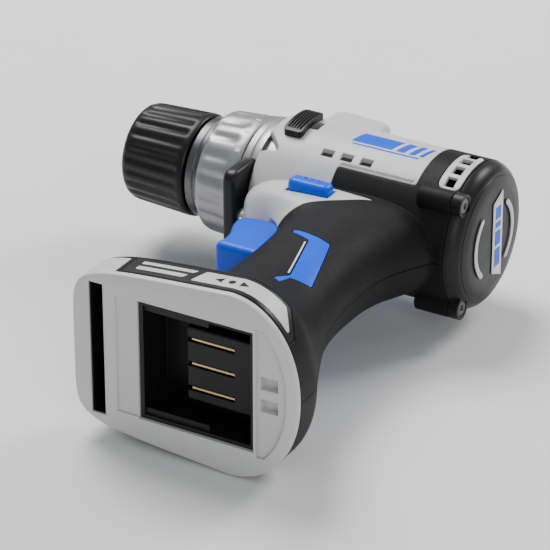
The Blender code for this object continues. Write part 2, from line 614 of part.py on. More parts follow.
def motor():
    """Brushed motor: can, magnets, armature on its shaft, commutator, end bell and fan."""
    turned("motor_can", [(MOTOR_RADIUS, -0.0180), (MOTOR_RADIUS, -0.0600), (0.0030, -0.0600),
                         (0.0030, -0.0588),
                         (0.0177, -0.0588), (0.0177, -0.0180)], "steel", steps=28)
    turned("motor_end_bell", [(MOTOR_RADIUS, -0.0145), (MOTOR_RADIUS, -0.0177), (0.0030, -0.0177),
                              (0.0030, -0.0145)], "black_plastic", steps=28)
    for name, way in (("upper", 1), ("lower", -1)):
        magnet = turned(f"magnet_{name}", [(0.0174, -0.0240), (0.0174, -0.0550), (0.0140, -0.0550),
                                           (0.0140, -0.0240)], "dark_steel", steps=28)
        combine(magnet, "INTERSECT", block(f"magnet_keep_{name}", (-0.0700, way * 0.0115 - 0.0080, -0.0300),
                                           (0.0, way * 0.0115 + 0.0080, 0.0300)))
    rod("motor_shaft", (GEAR_FRONT, 0, 0), (-0.0062, 0, 0), SHAFT_RADIUS, "steel", sides=12)
    hole = SHAFT_RADIUS + GAP
    turned("armature", [(0.0130, -0.0270), (0.0130, -0.0520), (hole, -0.0520), (hole, -0.0270)],
           "copper", steps=24)
    turned("commutator", [(0.0050, -0.0200), (0.0050, -0.0262), (hole, -0.0262), (hole, -0.0200)],
           "copper", steps=20)
    fan = turned("cooling_fan", [(0.0050, -0.0072), (0.0050, -0.0120), (0.0170, -0.0120), (0.0170, -0.0130),
                                 (hole, -0.0130), (hole, -0.0072)], "black_plastic", steps=24)
    for number in range(7):
        blade = block(f"fan_blade_{number}", (-0.0125, 0.0045, -0.0006), (-0.0080, 0.0165, 0.0006))
        blade.rotation_euler = (2 * math.pi * number / 7, 0.0, 0.0)
        combine(fan, "UNION", blade)


# ---------------------------------------------------------------- clutch ring and chuck
def fluted(name, stations, flutes, depth, look, points_per_flute=3):
    """A round grip with lengthwise flutes, through (x, radius) stations."""
    count = flutes * points_per_flute
    rings = []
    for x, radius in stations:
        ring = []
        for k in range(count):
            angle = 2 * math.pi * k / count
            r = radius - (depth if k % points_per_flute == 0 else 0.0)
            ring.append((x, r * math.cos(angle), r * math.sin(angle)))
        rings.append(ring)
    return loft(name, rings, look)


def clutch():
    ring = fluted("clutch_ring", ((CLUTCH_FRONT, 0.0236), (CLUTCH_FRONT + 0.0012, 0.0246),
                                  (CLUTCH_REAR - 0.0040, CLUTCH_RADIUS),
                                  (CLUTCH_REAR, CLUTCH_RADIUS)), 18, 0.0008, "nose_metal")
    cut(ring, rod("clutch_bore", (-0.1300, 0, 0), (-0.0900, 0, 0), SNOUT_RADIUS + GAP, sides=48))


def jaw_direction(angle):
    """Unit vector along which a jaw closes: forwards and towards the axis."""
    return Vector((-math.cos(JAW_ANGLE), -math.sin(JAW_ANGLE) * math.cos(angle),
                   -math.sin(JAW_ANGLE) * math.sin(angle)))


def chuck():
    """Keyless chuck: body with three slanted jaws, outer sleeve, rear ring and centre screw."""
    body = turned("chuck_body", [
        (BODY_RADIUS, -0.1258), (BODY_RADIUS, -0.1520), (0.0152, -0.1560), (0.0120, CHUCK_FRONT + 0.0006),
        (0.0112, CHUCK_FRONT), (0.0053, CHUCK_FRONT), (0.0053, -0.1345), (0.0022, -0.1345),
        (0.0022, -0.1330),
        (SPINDLE_RADIUS + GAP, -0.1330), (SPINDLE_RADIUS + GAP, -0.1258)], "dark_steel", steps=28)
    reach = JAW_OPENING + 0.0022
    front = Vector((CHUCK_FRONT + 0.0020, 0.0, 0.0))
    for number in range(3):
        angle = 2 * math.pi * number / 3
        outward = Vector((0.0, math.cos(angle), math.sin(angle)))
        closing = jaw_direction(angle)
        start = front + outward * reach
        length = (JAW_BACK - start.x) / -closing.x
        back = start - closing * length
        cut(body, rod(f"jaw_channel_{number}", start + closing * 0.010, back - closing * 0.0072,
                      JAW_RADIUS + 0.00035, sides=20))
        jaw = rod(f"chuck_jaw_{number + 1}", start + closing * 0.006, back, JAW_RADIUS, "steel", sides=20)
        wedge = [(JAW_OPENING, 0.0), (JAW_OPENING + 0.0200, 0.0200 * math.tan(math.radians(59.0))),
                 (JAW_OPENING + 0.0200, -0.0200 * math.tan(math.radians(59.0)))]
        keep = extruded(f"jaw_wedge_{number}", wedge, CHUCK_FRONT, -0.1200, axis="X")
        keep.rotation_euler = (angle, 0.0, 0.0)
        combine(jaw, "INTERSECT", keep)
    sleeve = fluted("chuck_sleeve", (
        (-0.1560, 0.0180), (-0.1545, 0.0196), (-0.1480, 0.0206), (-0.1300, SLEEVE_RADIUS),
        (-0.1274, SLEEVE_RADIUS), (-0.1262, 0.0205)), 12, 0.0008, "black_plastic")
    cut(sleeve, rod("sleeve_bore", (-0.1500, 0, 0), (-0.1200, 0, 0), 0.0180, sides=36),
        rod("sleeve_mouth", (-0.1600, 0, 0), (-0.1400, 0, 0), 0.0165, sides=36))
    turned("chuck_rear_ring", [(0.0203, -0.1190), (0.0205, -0.1198), (0.0205, -0.1248), (0.0198, -0.1255),
                               (SPINDLE_RADIUS + GAP, -0.1255), (SPINDLE_RADIUS + GAP, -0.1190)],
           "dark_steel", steps=28)
    spindle = rod("output_spindle", (-0.1327, 0, 0), (-0.0845, 0, 0), SPINDLE_RADIUS, "steel", sides=24)
    cut(spindle, rod("spindle_thread", (-0.1400, 0, 0), (-0.1150, 0, 0), 0.0022, sides=14))
    screw = rod("chuck_screw", (-0.1349, 0, 0), (-0.1170, 0, 0), 0.0019, "steel", sides=14)
    combine(screw, "UNION", rod("chuck_screw_head", (-0.1380, 0, 0), (-0.1348, 0, 0), 0.0036, sides=16))
    cut(screw, block("chuck_screw_slot", (-0.1400, -0.0005, -0.0050), (-0.1368, 0.0005, 0.0050)))


# ---------------------------------------------------------------- controls and light
def controls():
    """Trigger with its switch and spring, direction lever and speed selector."""
    outline = [(-0.0605, -0.0438), (-0.0800, -0.0438), (-0.0845, -0.0470), (-0.0835, -0.0530),
               (-0.0805, -0.0600),
               (-0.0800, -0.0660), (-0.0815, -0.0704), (-0.0605, -0.0704)]
    trigger = extruded("trigger", outline, -0.0086, 0.0086, look="blue_plastic")
    soften = trigger.modifiers.new("soften", "BEVEL")
    soften.width = 0.0012
    soften.segments = 2
    soften.limit_method = "ANGLE"
    block("trigger_switch", (-0.0500, -0.0740, -0.0095), (-0.0305, -0.0445, 0.0095), "black_plastic",
          bevel=0.0008)
    trigger_spring()
    block("direction_lever", (-0.0700, -0.0350, -LEVER_HALF_LENGTH),
          (-0.0520, -0.0280, LEVER_HALF_LENGTH), "blue_plastic",
          bevel=0.0010)

    knob = turned("speed_selector", [(0.0325, -0.0770), (0.0325, -0.0853), (HEAD_RADIUS + GAP, -0.0853),
                                     (HEAD_RADIUS + GAP, -0.0770)], "black_plastic", steps=72)
    combine(knob, "INTERSECT", block("selector_keep", (-0.0900, -0.0108, 0.0200),
                                     (-0.0700, 0.0080, 0.0400)))
    for number in range(4):
        x = -0.0837 + number * 0.0017
        cut(knob, block(f"selector_groove_{number}", (x - 0.0003, -0.0200, 0.0319),
                        (x + 0.0003, 0.0200, 0.0400)))
    combine(knob, "UNION", block("selector_stem", (-0.0832, -0.0028, 0.0250), (-0.0802, 0.0028, 0.0308)))


def trigger_spring():
    """Compression spring between the trigger and its switch."""
    coils, points_per_coil, radius = 5, 10, 0.0028
    start, end = -0.0598, -0.0507
    total = coils * points_per_coil
    curve = bpy.data.curves.new("trigger_spring", "CURVE")
    curve.dimensions = "3D"
    curve.bevel_depth = 0.00035
    curve.bevel_resolution = 0
    curve.use_fill_caps = True
    spline = curve.splines.new("POLY")
    spline.points.add(total)
    for k, point in enumerate(spline.points):
        angle = 2 * math.pi * k / points_per_coil
        along = start + (end - start) * k / total
        point.co = (along, -0.0570 + radius * math.cos(angle), radius * math.sin(angle), 1.0)
    spring = bpy.data.objects.new("trigger_spring", curve)
    bpy.context.scene.collection.objects.link(spring)
    for collection in list(spring.users_collection):
        collection.objects.unlink(spring)
    spring.parent = DRILL
    PARTS.objects.link(spring)
    curve.materials.append(finish("steel"))


def work_light():
    """Black bezel under the gearbox nose with its lens and lamp board."""
    bezel = block("light_bezel", (-0.0980, -0.0365, -0.0195), (HEAD_FRONT - GAP, -0.0160, 0.0195),
                  "black_plastic", bevel=0.0024)
    cut(bezel, rod("bezel_nose_room", (-0.1100, 0, 0), (-0.0800, 0, 0), NOSE_RADIUS + GAP, sides=48),
        rod("lens_hole", (-0.1000, -0.0315, 0), (-0.0900, -0.0315, 0), 0.0030, sides=20))
    rod("light_lens", (-0.0983, -0.0315, 0), (-0.0916, -0.0315, 0), 0.0027, "clear_plastic", sides=20,
        tip=0.0027)
    block("light_board", (-0.0835, -0.0335, -0.0060), (-0.0823, -0.0275, 0.0060), "circuit_board")


def housing_screws():
    """Self-tapping screws that hold the clamshell together from the right side."""
    for number, (x, y) in enumerate(SCREW_PLACES):
        screw = rod(f"housing_screw_{number + 1}", (x, y, -0.0110), (x, y, 0.0100), 0.0011, "dark_steel",
                    sides=12)
        combine(screw, "UNION", rod(f"housing_screw_head_{number}", (x, y, -0.0122), (x, y, -0.01035),
                                    0.0028, sides=16))
        cut(screw, rod(f"housing_screw_drive_{number}", (x, y, -0.0140), (x, y, -0.0112), 0.0013, sides=6))


casing()
rear_cap()
foot()
gearbox()
motor()
clutch()
chuck()
controls()
work_light()
housing_screws()
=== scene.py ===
"""Looks of the cordless drill: fine shells, soft grips, markings and worn materials.
"""

import json
import math

import bmesh
import bpy
from mathutils import Matrix, Vector


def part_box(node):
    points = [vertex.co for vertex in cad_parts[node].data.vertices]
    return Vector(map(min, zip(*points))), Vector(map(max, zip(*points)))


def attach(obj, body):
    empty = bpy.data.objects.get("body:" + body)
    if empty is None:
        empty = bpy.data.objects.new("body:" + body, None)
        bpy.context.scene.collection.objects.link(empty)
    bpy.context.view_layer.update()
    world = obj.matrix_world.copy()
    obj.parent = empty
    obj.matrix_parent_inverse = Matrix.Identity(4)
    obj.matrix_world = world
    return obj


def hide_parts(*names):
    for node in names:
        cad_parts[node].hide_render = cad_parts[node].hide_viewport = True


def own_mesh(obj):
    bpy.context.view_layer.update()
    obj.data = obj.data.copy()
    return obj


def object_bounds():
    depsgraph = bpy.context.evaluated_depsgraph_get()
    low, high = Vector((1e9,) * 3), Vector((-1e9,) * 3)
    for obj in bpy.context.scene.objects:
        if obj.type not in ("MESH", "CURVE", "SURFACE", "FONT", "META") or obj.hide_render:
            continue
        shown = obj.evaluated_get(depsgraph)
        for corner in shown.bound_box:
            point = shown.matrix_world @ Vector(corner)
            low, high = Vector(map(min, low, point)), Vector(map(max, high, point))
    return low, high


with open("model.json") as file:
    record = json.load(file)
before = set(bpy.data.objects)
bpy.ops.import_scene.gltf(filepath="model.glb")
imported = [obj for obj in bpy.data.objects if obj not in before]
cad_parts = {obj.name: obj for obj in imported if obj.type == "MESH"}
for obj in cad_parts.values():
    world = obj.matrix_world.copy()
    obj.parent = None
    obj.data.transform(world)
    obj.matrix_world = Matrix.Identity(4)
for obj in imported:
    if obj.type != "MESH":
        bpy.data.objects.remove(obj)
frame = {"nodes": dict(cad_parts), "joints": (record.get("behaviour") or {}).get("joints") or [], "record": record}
cad_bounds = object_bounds()

# ---------------------------------------------------------------- driving dimensions (metres)
GAP = 0.0003
SPINDLE_HEIGHT = 0.149
HEAD_RADIUS = 0.0298
HEAD_FRONT = -0.092
HEAD_REAR = -0.005
TOOL_REAR = 0.0026
SADDLE_TOP = 0.036
FOOT_FRONT = -0.0935
FOOT_MIDDLE = -0.029
FOOT_HALF_WIDTH = 0.0370
RUBBER = 0.0016
WALL = 0.0040
BAY_FRONT = -0.066
BAY_REAR = -0.018
BAY_HALF_WIDTH = 0.0243
LATCH_FRONT = -0.0862
LATCH_REAR = -0.0802
LATCH_HALF_WIDTH = 0.0270
FRAME_LIP = 0.0024
FRAME_BLOCK_TOP = -0.1346
FRAME_BLOCK_REAR = -0.0763
SNOUT_RADIUS = 0.0198
NOSE_RADIUS = 0.0265
CLUTCH_FRONT = -0.1182
CLUTCH_REAR = -0.0996
CLUTCH_RADIUS = 0.0260
SLEEVE_RADIUS = 0.0213
CAP_SCREW_Y = -0.0200
CAP_SCREW_Z = 0.0220
CAP_BOSS_FRONT = -0.0190
CAP_BOSS_RADIUS = 0.0046
TRIGGER_HALF_WIDTH = 0.0086
LEVER_HALF_LENGTH = 0.0230
CLUTCH_FLUTES = 18
SLEEVE_FLUTES = 24
LENS_Y = -0.0315
SCREW_PLACES = ((-0.0270, -0.0840), (-0.0540, -0.1080), (-0.0775, -0.0325))
SIDE_REACH = (0.0050, 0.0600)           # where a cutter for one side runs along Z
CUTTER_SPAN = 0.0600                    # where one for both sides ends
FAR = 0.2                               # beyond the whole tool
BOTTOM = -SPINDLE_HEIGHT
TRIGGER_ROOM = ((-0.1000, -0.0712, -0.00921), (-0.0560, -0.0432, 0.00923))
LEVER_ROOM = ((-0.0704, -0.0354, -0.0400), (-0.0516, -0.0276, 0.0400))
SELECTOR_TRACK = ((-0.0838, -0.0034, 0.0150), (-0.0738, 0.0034, 0.0400))

ROUND = 96        # steps round a turned piece
RING_POINTS = 112
ROWS_BETWEEN = 5   # extra sections between two of the table below

spindle_pos = next(j for j in frame["joints"] if j["name"] == "spindle_spin")["pos_m"]
ORIGIN = Vector((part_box("foot_frame")[1].x, spindle_pos[1], spindle_pos[2]))


# ---------------------------------------------------------------- materials
def node(tree, kind, inputs=None, **settings):
    """A shader node with some of its sockets set or linked by name or number."""
    made = tree.nodes.new(kind)
    for name, value in settings.items():
        setattr(made, name, value)
    for name, value in (inputs or {}).items():
        if isinstance(value, bpy.types.NodeSocket):
            tree.links.new(value, made.inputs[name])
        else:
            made.inputs[name].default_value = value
    return made


def tinted(colour, factor):
    return tuple(min(1.0, channel * factor) for channel in colour) + (1.0,)


def material(name, colour, roughness, metallic=0.0, mottle=0.12, grain=0.0004, depth=0.00002,
             stretch=(1.0, 1.0, 1.0), edge=0.0006, wear=0.35, worn=None, spread=0.10, **shader_values):
    """A Principled surface with fine moulded grain, uneven gloss and edges rubbed lighter.

    grain is the size of the texture and depth its height, both in metres; stretch draws the
    texture out along an axis, for machined or brushed metal; edge is the radius that rounds
    corners in the light; wear is how strongly they are rubbed to the worn colour.
    """
    made = bpy.data.materials.new(name)
    made.use_nodes = True
    tree = made.node_tree
    shader = tree.nodes["Principled BSDF"]
    shader.inputs["Metallic"].default_value = metallic
    for socket, value in shader_values.items():
        shader.inputs[socket.replace("_", " ")].default_value = value
    place = node(tree, "ShaderNodeTexCoord").outputs["Object"]
    drawn = node(tree, "ShaderNodeMapping", {"Vector": place, "Scale": stretch}).outputs["Vector"]
    broad = node(tree, "ShaderNodeTexNoise", {"Vector": place, "Scale": 70.0, "Detail": 5.0}).outputs["Fac"]
    fine = node(tree, "ShaderNodeTexNoise",
                {"Vector": drawn, "Scale": 1.0 / grain, "Detail": 3.0}).outputs["Fac"]
    body = node(tree, "ShaderNodeMix", data_type="RGBA")
    set_mix(body, broad, tinted(colour, 1.0 - mottle), tinted(colour, 1.0 + mottle), tree)
    rounded = node(tree, "ShaderNodeBevel", {"Radius": edge}, samples=4).outputs["Normal"]
    flat = node(tree, "ShaderNodeNewGeometry").outputs["Normal"]
    turn = node(tree, "ShaderNodeVectorMath", {0: rounded, 1: flat}, operation="DOT_PRODUCT").outputs["Value"]
    corner = node(tree, "ShaderNodeMapRange", {"Value": turn, "From Min": 0.985, "From Max": 0.82,
                                               "To Min": 0.0, "To Max": wear}).outputs["Result"]
    rubbed = node(tree, "ShaderNodeMath", {0: corner, 1: broad}, operation="MULTIPLY").outputs["Value"]
    final = node(tree, "ShaderNodeMix", data_type="RGBA")
    set_mix(final, rubbed, body.outputs[2], tinted(worn or tuple(0.55 * c + 0.35 for c in colour), 1.0), tree)
    tree.links.new(final.outputs[2], shader.inputs["Base Color"])
    half = spread / 2
    gloss = node(tree, "ShaderNodeMapRange", {"Value": fine, "From Min": 0.3, "From Max": 0.7,
                                              "To Min": roughness - half, "To Max": roughness + half})
    smear = node(tree, "ShaderNodeMapRange", {"Value": broad, "From Min": 0.35, "From Max": 0.65,
                                              "To Min": -half, "To Max": half})
    both = node(tree, "ShaderNodeMath", {0: gloss.outputs["Result"], 1: smear.outputs["Result"]},
                operation="ADD")
    tree.links.new(both.outputs["Value"], shader.inputs["Roughness"])
    bump = node(tree, "ShaderNodeBump",
                {"Height": fine, "Normal": rounded, "Distance": depth, "Strength": 1.0})
    tree.links.new(bump.outputs["Normal"], shader.inputs["Normal"])
    return made


def set_mix(mix, factor, first, second, tree):
    """Fill the colour sockets of a Mix node, which share their names with the number ones."""
    for index, value in ((0, factor), (6, first), (7, second)):
        if isinstance(value, bpy.types.NodeSocket):
            tree.links.new(value, mix.inputs[index])
        else:
            mix.inputs[index].default_value = value


LOOKS = {
    "light_plastic": material("light_plastic", (0.56, 0.56, 0.555), 0.44, mottle=0.03, depth=0.000016,
                              wear=0.5, worn=(0.74, 0.74, 0.73), spread=0.08),
    "black_rubber": material("black_rubber", (0.0065, 0.0065, 0.007), 0.56, mottle=0.25, grain=0.0005,
                             depth=0.000035, edge=0.0009, wear=0.25, worn=(0.04, 0.04, 0.042), spread=0.12,
                             Specular_IOR_Level=0.18),
    "black_plastic": material("black_plastic", (0.007, 0.007, 0.0075), 0.38, mottle=0.20, depth=0.00002,
                              edge=0.0005, wear=0.30, worn=(0.07, 0.07, 0.075), Specular_IOR_Level=0.28),
    "blue_plastic": material("blue_plastic", (0.0, 0.085, 0.78), 0.34, mottle=0.05, depth=0.000012,
                             wear=0.35, worn=(0.01, 0.22, 0.90), Specular_IOR_Level=0.25),
    "nose_metal": material("nose_metal", (0.33, 0.33, 0.335), 0.40, metallic=0.75, mottle=0.06, grain=0.0003,
                           depth=0.00001, wear=0.6, worn=(0.62, 0.62, 0.63)),
    "steel": material("steel", (0.56, 0.56, 0.57), 0.30, metallic=1.0, mottle=0.06, grain=0.0006,
                      depth=0.000006, stretch=(6.0, 0.6, 0.6), wear=0.4, worn=(0.8, 0.8, 0.8)),
    "dark_steel": material("dark_steel", (0.13, 0.13, 0.135), 0.36, metallic=1.0, mottle=0.12, grain=0.0006,
                           depth=0.000008, stretch=(6.0, 0.6, 0.6), wear=0.6, worn=(0.5, 0.5, 0.5)),
    "brass": material("brass", (0.78, 0.56, 0.25), 0.30, metallic=1.0, mottle=0.08, depth=0.000006),
    "copper": material("copper", (0.70, 0.28, 0.12), 0.34, metallic=1.0, mottle=0.15, grain=0.0006,
                       depth=0.00006, stretch=(0.3, 2.0, 2.0)),
    "clear_plastic": material("clear_plastic", (0.92, 0.94, 0.96), 0.10, mottle=0.01, depth=0.000004,
                              spread=0.04, wear=0.0, Transmission_Weight=0.85, IOR=1.49),
    "circuit_board": material("circuit_board", (0.02, 0.16, 0.06), 0.40, mottle=0.35, grain=0.0012,
                              depth=0.00004, wear=0.2),
    "white_plastic": material("white_plastic", (0.74, 0.74, 0.73), 0.38, mottle=0.03, depth=0.000008,
                              wear=0.2, worn=(0.85, 0.85, 0.84)),
}


# ---------------------------------------------------------------- mesh helpers
tools = []      # cutters, removed once every piece is finished


def mesh_object(name, bm):
    """The mesh as an object, moved from drill coordinates to its place in the frame."""
    mesh = bpy.data.meshes.new(name)
    bmesh.ops.recalc_face_normals(bm, faces=bm.faces)
    bmesh.ops.translate(bm, vec=ORIGIN, verts=bm.verts)
    bm.to_mesh(mesh)
    bm.free()
    obj = bpy.data.objects.new(name, mesh)
    bpy.context.scene.collection.objects.link(obj)
    return obj


def tool(obj):
    """Keep a cutter out of the picture until it is removed."""
    obj.hide_render = True
    tools.append(obj)
    return obj


def add_box(bm, low, high):
    low, high = Vector(low), Vector(high)
    cube = bmesh.ops.create_cube(bm, size=1.0)["verts"]
    bmesh.ops.scale(bm, vec=high - low, verts=cube)
    bmesh.ops.translate(bm, vec=(low + high) / 2, verts=cube)
    return cube


def boxes(name, *corners):
    """One cutter of several separate boxes, given as (low, high) pairs."""
    bm = bmesh.new()
    for low, high in corners:
        add_box(bm, low, high)
    return mesh_object(name, bm)


def soft_block(name, low, high, bevel, segments=4):
    """A box with all its edges rounded."""
    bm = bmesh.new()
    add_box(bm, low, high)
    bmesh.ops.bevel(bm, geom=bm.edges[:], offset=bevel, segments=segments, profile=0.5, affect="EDGES")
    return mesh_object(name, bm)


def add_rod(bm, start, end, radius, sides):
    start, end = Vector(start), Vector(end)
    along = end - start
    turn = Matrix.Translation((start + end) / 2) @ along.to_track_quat("Z", "Y").to_matrix().to_4x4()
    bmesh.ops.create_cone(bm, cap_ends=True, segments=sides, radius1=radius, radius2=radius,
                          depth=along.length, matrix=turn)


def rods(name, *ends, sides=32):
    """One cutter of several separate round bars, given as (start, end, radius)."""
    bm = bmesh.new()
    for start, end, radius in ends:
        add_rod(bm, start, end, radius, sides)
    return mesh_object(name, bm)


def skin(name, rings):
    """A closed skin over rings that all have the same number of points."""
    bm = bmesh.new()
    loops = [[bm.verts.new(point) for point in ring] for ring in rings]
    count = len(rings[0])
    for lower, upper in zip(loops, loops[1:]):
        for k in range(count):
            after = (k + 1) % count
            bm.faces.new((lower[k], lower[after], upper[after], upper[k]))
    bm.faces.new(loops[0])
    bm.faces.new(loops[-1])
    return mesh_object(name, bm)


def turned(name, profile, steps=ROUND):
    """A solid turned about the spindle axis: a closed loop of (radius, x) points gives a ring,
    and one that starts and ends on the axis a plug with flat ends."""
    plug = profile[0][0] == 0.0
    points = profile[1:-1] if plug else profile
    bm = bmesh.new()
    loops = [[bm.verts.new((x, radius * math.cos(angle), radius * math.sin(angle))) for radius, x in points]
             for angle in (2 * math.pi * k / steps for k in range(steps))]
    count = len(points)
    for k, loop in enumerate(loops):
        after = loops[(k + 1) % steps]
        for j in range(count - 1 if plug else count):
            bm.faces.new((loop[j], loop[(j + 1) % count], after[(j + 1) % count], after[j]))
    if plug:
        bm.faces.new([loop[0] for loop in loops])
        bm.faces.new([loop[-1] for loop in loops])
    return mesh_object(name, bm)


def prisms(name, outlines, low, high):
    """One cutter of several side-view outlines (x, y), each run from low to high along Z."""
    bm = bmesh.new()
    for outline in outlines:
        bottom = [bm.verts.new((x, y, low)) for x, y in outline]
        top = [bm.verts.new((x, y, high)) for x, y in outline]
        count = len(outline)
        for k in range(count):
            after = (k + 1) % count
            bm.faces.new((bottom[k], bottom[after], top[after], top[k]))
        bm.faces.new(bottom)
        bm.faces.new(top)
    return mesh_object(name, bm)


def narrowed(outline, distance):
    """The outline scaled about its middle so that its outermost sides come in by the distance."""
    spans = [(min(values), max(values)) for values in zip(*outline)]
    return [tuple((low + high) / 2 + (value - (low + high) / 2) * (1 - 2 * distance / (high - low))
                  for value, (low, high) in zip(point, spans)) for point in outline]


def pillow(name, outline, low, high, radius, axis="Z", steps=6):
    """An outline run along an axis, with its two end faces rounded into its sides."""
    angles = [math.radians(90 * step / steps) for step in range(steps + 1)]
    slices = [(radius * (1 - math.sin(angle)), radius * (1 - math.cos(angle))) for angle in angles]
    levels = [(low + depth, inset) for inset, depth in slices]
    levels += [(high - depth, inset) for inset, depth in slices[::-1]]
    rings = [(level, narrowed(outline, inset)) for level, inset in levels]
    if axis == "X":       # the outline is (y, z)
        return skin(name, [[(level, *point) for point in ring] for level, ring in rings])
    return skin(name, [[(*point, level) for point in ring] for level, ring in rings])


def worked(obj, *steps):
    """Apply Boolean steps, given as (operation, other), and keep the resulting mesh."""
    for operation, other in steps:
        modifier = obj.modifiers.new(operation.lower(), "BOOLEAN")
        modifier.operation = operation
        modifier.solver = "EXACT"
        modifier.object = other
    return baked(obj)


def baked(obj):
    """The object with its modifiers applied."""
    graph = bpy.context.evaluated_depsgraph_get()
    mesh = bpy.data.meshes.new_from_object(obj.evaluated_get(graph))
    obj.modifiers.clear()
    obj.data = mesh
    return obj


def copy_of(obj, name):
    twin = bpy.data.objects.new(name, obj.data.copy())
    bpy.context.scene.collection.objects.link(twin)
    return twin


def piece(obj, body, look, *stands_for, smooth=35):
    """File a finished piece: its shading, finish, body and the CAD nodes it stands for."""
    obj.data.materials.clear()
    obj.data.materials.append(LOOKS[look])
    obj.data.shade_smooth()
    obj.data.set_sharp_from_angle(angle=math.radians(smooth))
    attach(obj, body)
    if stands_for:
        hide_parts(*stands_for)
    return obj


def grown(outline, distance):
    """The outline moved outwards by a distance, with mitred corners."""
    area = sum(a[0] * b[1] - b[0] * a[1] for a, b in zip(outline, outline[1:] + outline[:1]))
    side = 1.0 if area > 0 else -1.0
    moved = []
    for before, here, after in zip(outline[-1:] + outline[:-1], outline, outline[1:] + outline[:1]):
        into = (Vector(here) - Vector(before)).normalized()
        out = (Vector(after) - Vector(here)).normalized()
        normal = ((Vector((into.y, -into.x)) + Vector((out.y, -out.x))) * side).normalized()
        reach = distance / max(0.35, normal.dot(Vector((into.y, -into.x)) * side))
        moved.append(tuple(Vector(here) + normal * reach))
    return moved


def cornered(outline, radius, steps=5):
    """The outline with each corner rounded off by about the radius."""
    rounded = []
    for before, here, after in zip(outline[-1:] + outline[:-1], outline, outline[1:] + outline[:1]):
        here = Vector(here)
        back, ahead = Vector(before) - here, Vector(after) - here
        start = here + back.normalized() * min(radius, 0.45 * back.length)
        end = here + ahead.normalized() * min(radius, 0.45 * ahead.length)
        for k in range(steps + 1):
            t = k / steps
            rounded.append(tuple(start * (1 - t) ** 2 + here * 2 * t * (1 - t) + end * t * t))
    return rounded


# ---------------------------------------------------------------- outer form
# Sections of handle and foot: height above the foot's underside, front, middle, rear,
# half width, squareness of the front and of the rear, taper towards the front.
SECTIONS = (
    (FRAME_LIP + GAP, FOOT_FRONT, FOOT_MIDDLE, 0.0, 0.0368, 7.0, 2.1, 0.145),
    (0.0140, -0.0930, FOOT_MIDDLE, -0.0004, FOOT_HALF_WIDTH, 7.0, 2.1, 0.145),
    (0.0185, -0.0895, -0.030, -0.0025, 0.0350, 6.0, 2.1, 0.14),
    (0.0260, -0.0800, -0.034, -0.0060, 0.0285, 4.5, 2.1, 0.12),
    (0.0360, -0.0715, -0.038, -0.0105, 0.0225, 3.0, 2.1, 0.08),
    (0.0500, -0.0665, -0.0405, -0.0160, 0.0192, 2.4, 2.2, 0.05),
    (0.0680, -0.0650, -0.042, -0.0195, 0.0183, 2.4, 2.3, 0.04),
    (0.0880, -0.0655, -0.042, -0.0200, 0.0186, 2.4, 2.3, 0.04),
    (0.0990, -0.0670, -0.042, -0.0185, 0.0190, 2.6, 2.3, 0.04),
    (0.1060, -0.0740, -0.042, -0.0160, 0.0192, 3.0, 2.3, 0.05),
    (0.1120, -0.0870, -0.042, -0.0130, 0.0194, 4.0, 2.4, 0.05),
    (0.1190, -0.0905, -0.042, -0.0090, 0.0194, 4.0, 2.4, 0.05),
    (0.1300, -0.0905, -0.042, -0.0080, 0.0170, 4.0, 2.6, 0.05),
)


def section(row, inset=0.0, points=RING_POINTS):
    """One rounded section of the handle or foot, drawn in by inset."""
    height, front, middle, rear, half, square_front, square_rear, taper = row
    ring = []
    for k in range(points):
        angle = 2 * math.pi * (k + 0.5) / points
        c, s = math.cos(angle), math.sin(angle)
        depth = rear - middle - inset if c > 0 else middle - front - inset
        power = 2.0 / (square_rear if c > 0 else square_front)
        along = math.copysign(abs(c) ** power, c)
        across = math.copysign(abs(s) ** power, s) * (half - inset)
        if c < 0:
            across *= 1.0 + taper * along
        ring.append((middle + depth * along, height - SPINDLE_HEIGHT, across))
    return ring


def flowing(rows, between):
    """The table of sections with smooth ones put between them, never past their neighbours."""
    out = []
    for k in range(len(rows) - 1):
        before, low, high = rows[max(k - 1, 0)], rows[k], rows[k + 1]
        after = rows[min(k + 2, len(rows) - 1)]
        for j in range(between):
            t = j / between
            row = []
            for a, b, c, d in zip(before, low, high, after):
                value = b + 0.5 * t * (c - a + t * (2 * a - 5 * b + 4 * c - d + t * (3 * (b - c) + d - a)))
                row.append(min(max(value, min(b, c)), max(b, c)))
            out.append(tuple(row))
    out.append(rows[-1])
    return out


def barrel_profile(inset, ends):
    """The head's outside as (radius, x), with its front edge rounded unless it is a cutter."""
    radius = HEAD_RADIUS - inset
    if ends:
        return [(0.0, HEAD_REAR + ends), (radius, HEAD_REAR + ends), (radius, HEAD_FRONT - ends),
                (0.0, HEAD_FRONT - ends)]
    nose = [(radius - 0.0022 * (1 - math.cos(a)), HEAD_FRONT + 0.008 * (1 - math.sin(a)))
            for a in (math.radians(15 * k) for k in range(7))]
    return [(0.0, HEAD_REAR), (radius, HEAD_REAR), *nose, (0.0, HEAD_FRONT)]


def form(name, inset=0.0, ends=0.0):
    """The tool's outer form, or with ends a cutter drawn in by inset that runs out past it."""
    rows = flowing(SECTIONS, 1 if ends else ROWS_BETWEEN)
    rings = [section(row, inset, 48 if ends else RING_POINTS) for row in rows]
    if ends:
        rings.insert(0, [(x, y - ends, z) for x, y, z in rings[0]])
    body = skin(name, rings)
    steps = [("UNION", tool(turned(name + "_barrel", barrel_profile(inset, ends), 48 if ends else ROUND)))]
    bosses = [((CAP_BOSS_FRONT + inset, CAP_SCREW_Y, z), (HEAD_REAR + ends, CAP_SCREW_Y, z),
               CAP_BOSS_RADIUS - 0.85 * inset) for z in (CAP_SCREW_Z, -CAP_SCREW_Z)]
    steps.append(("UNION", tool(rods(name + "_bosses", *bosses))))
    if not ends:
        steps.append(("UNION", tool(saddle_block())))
    return worked(body, *steps)


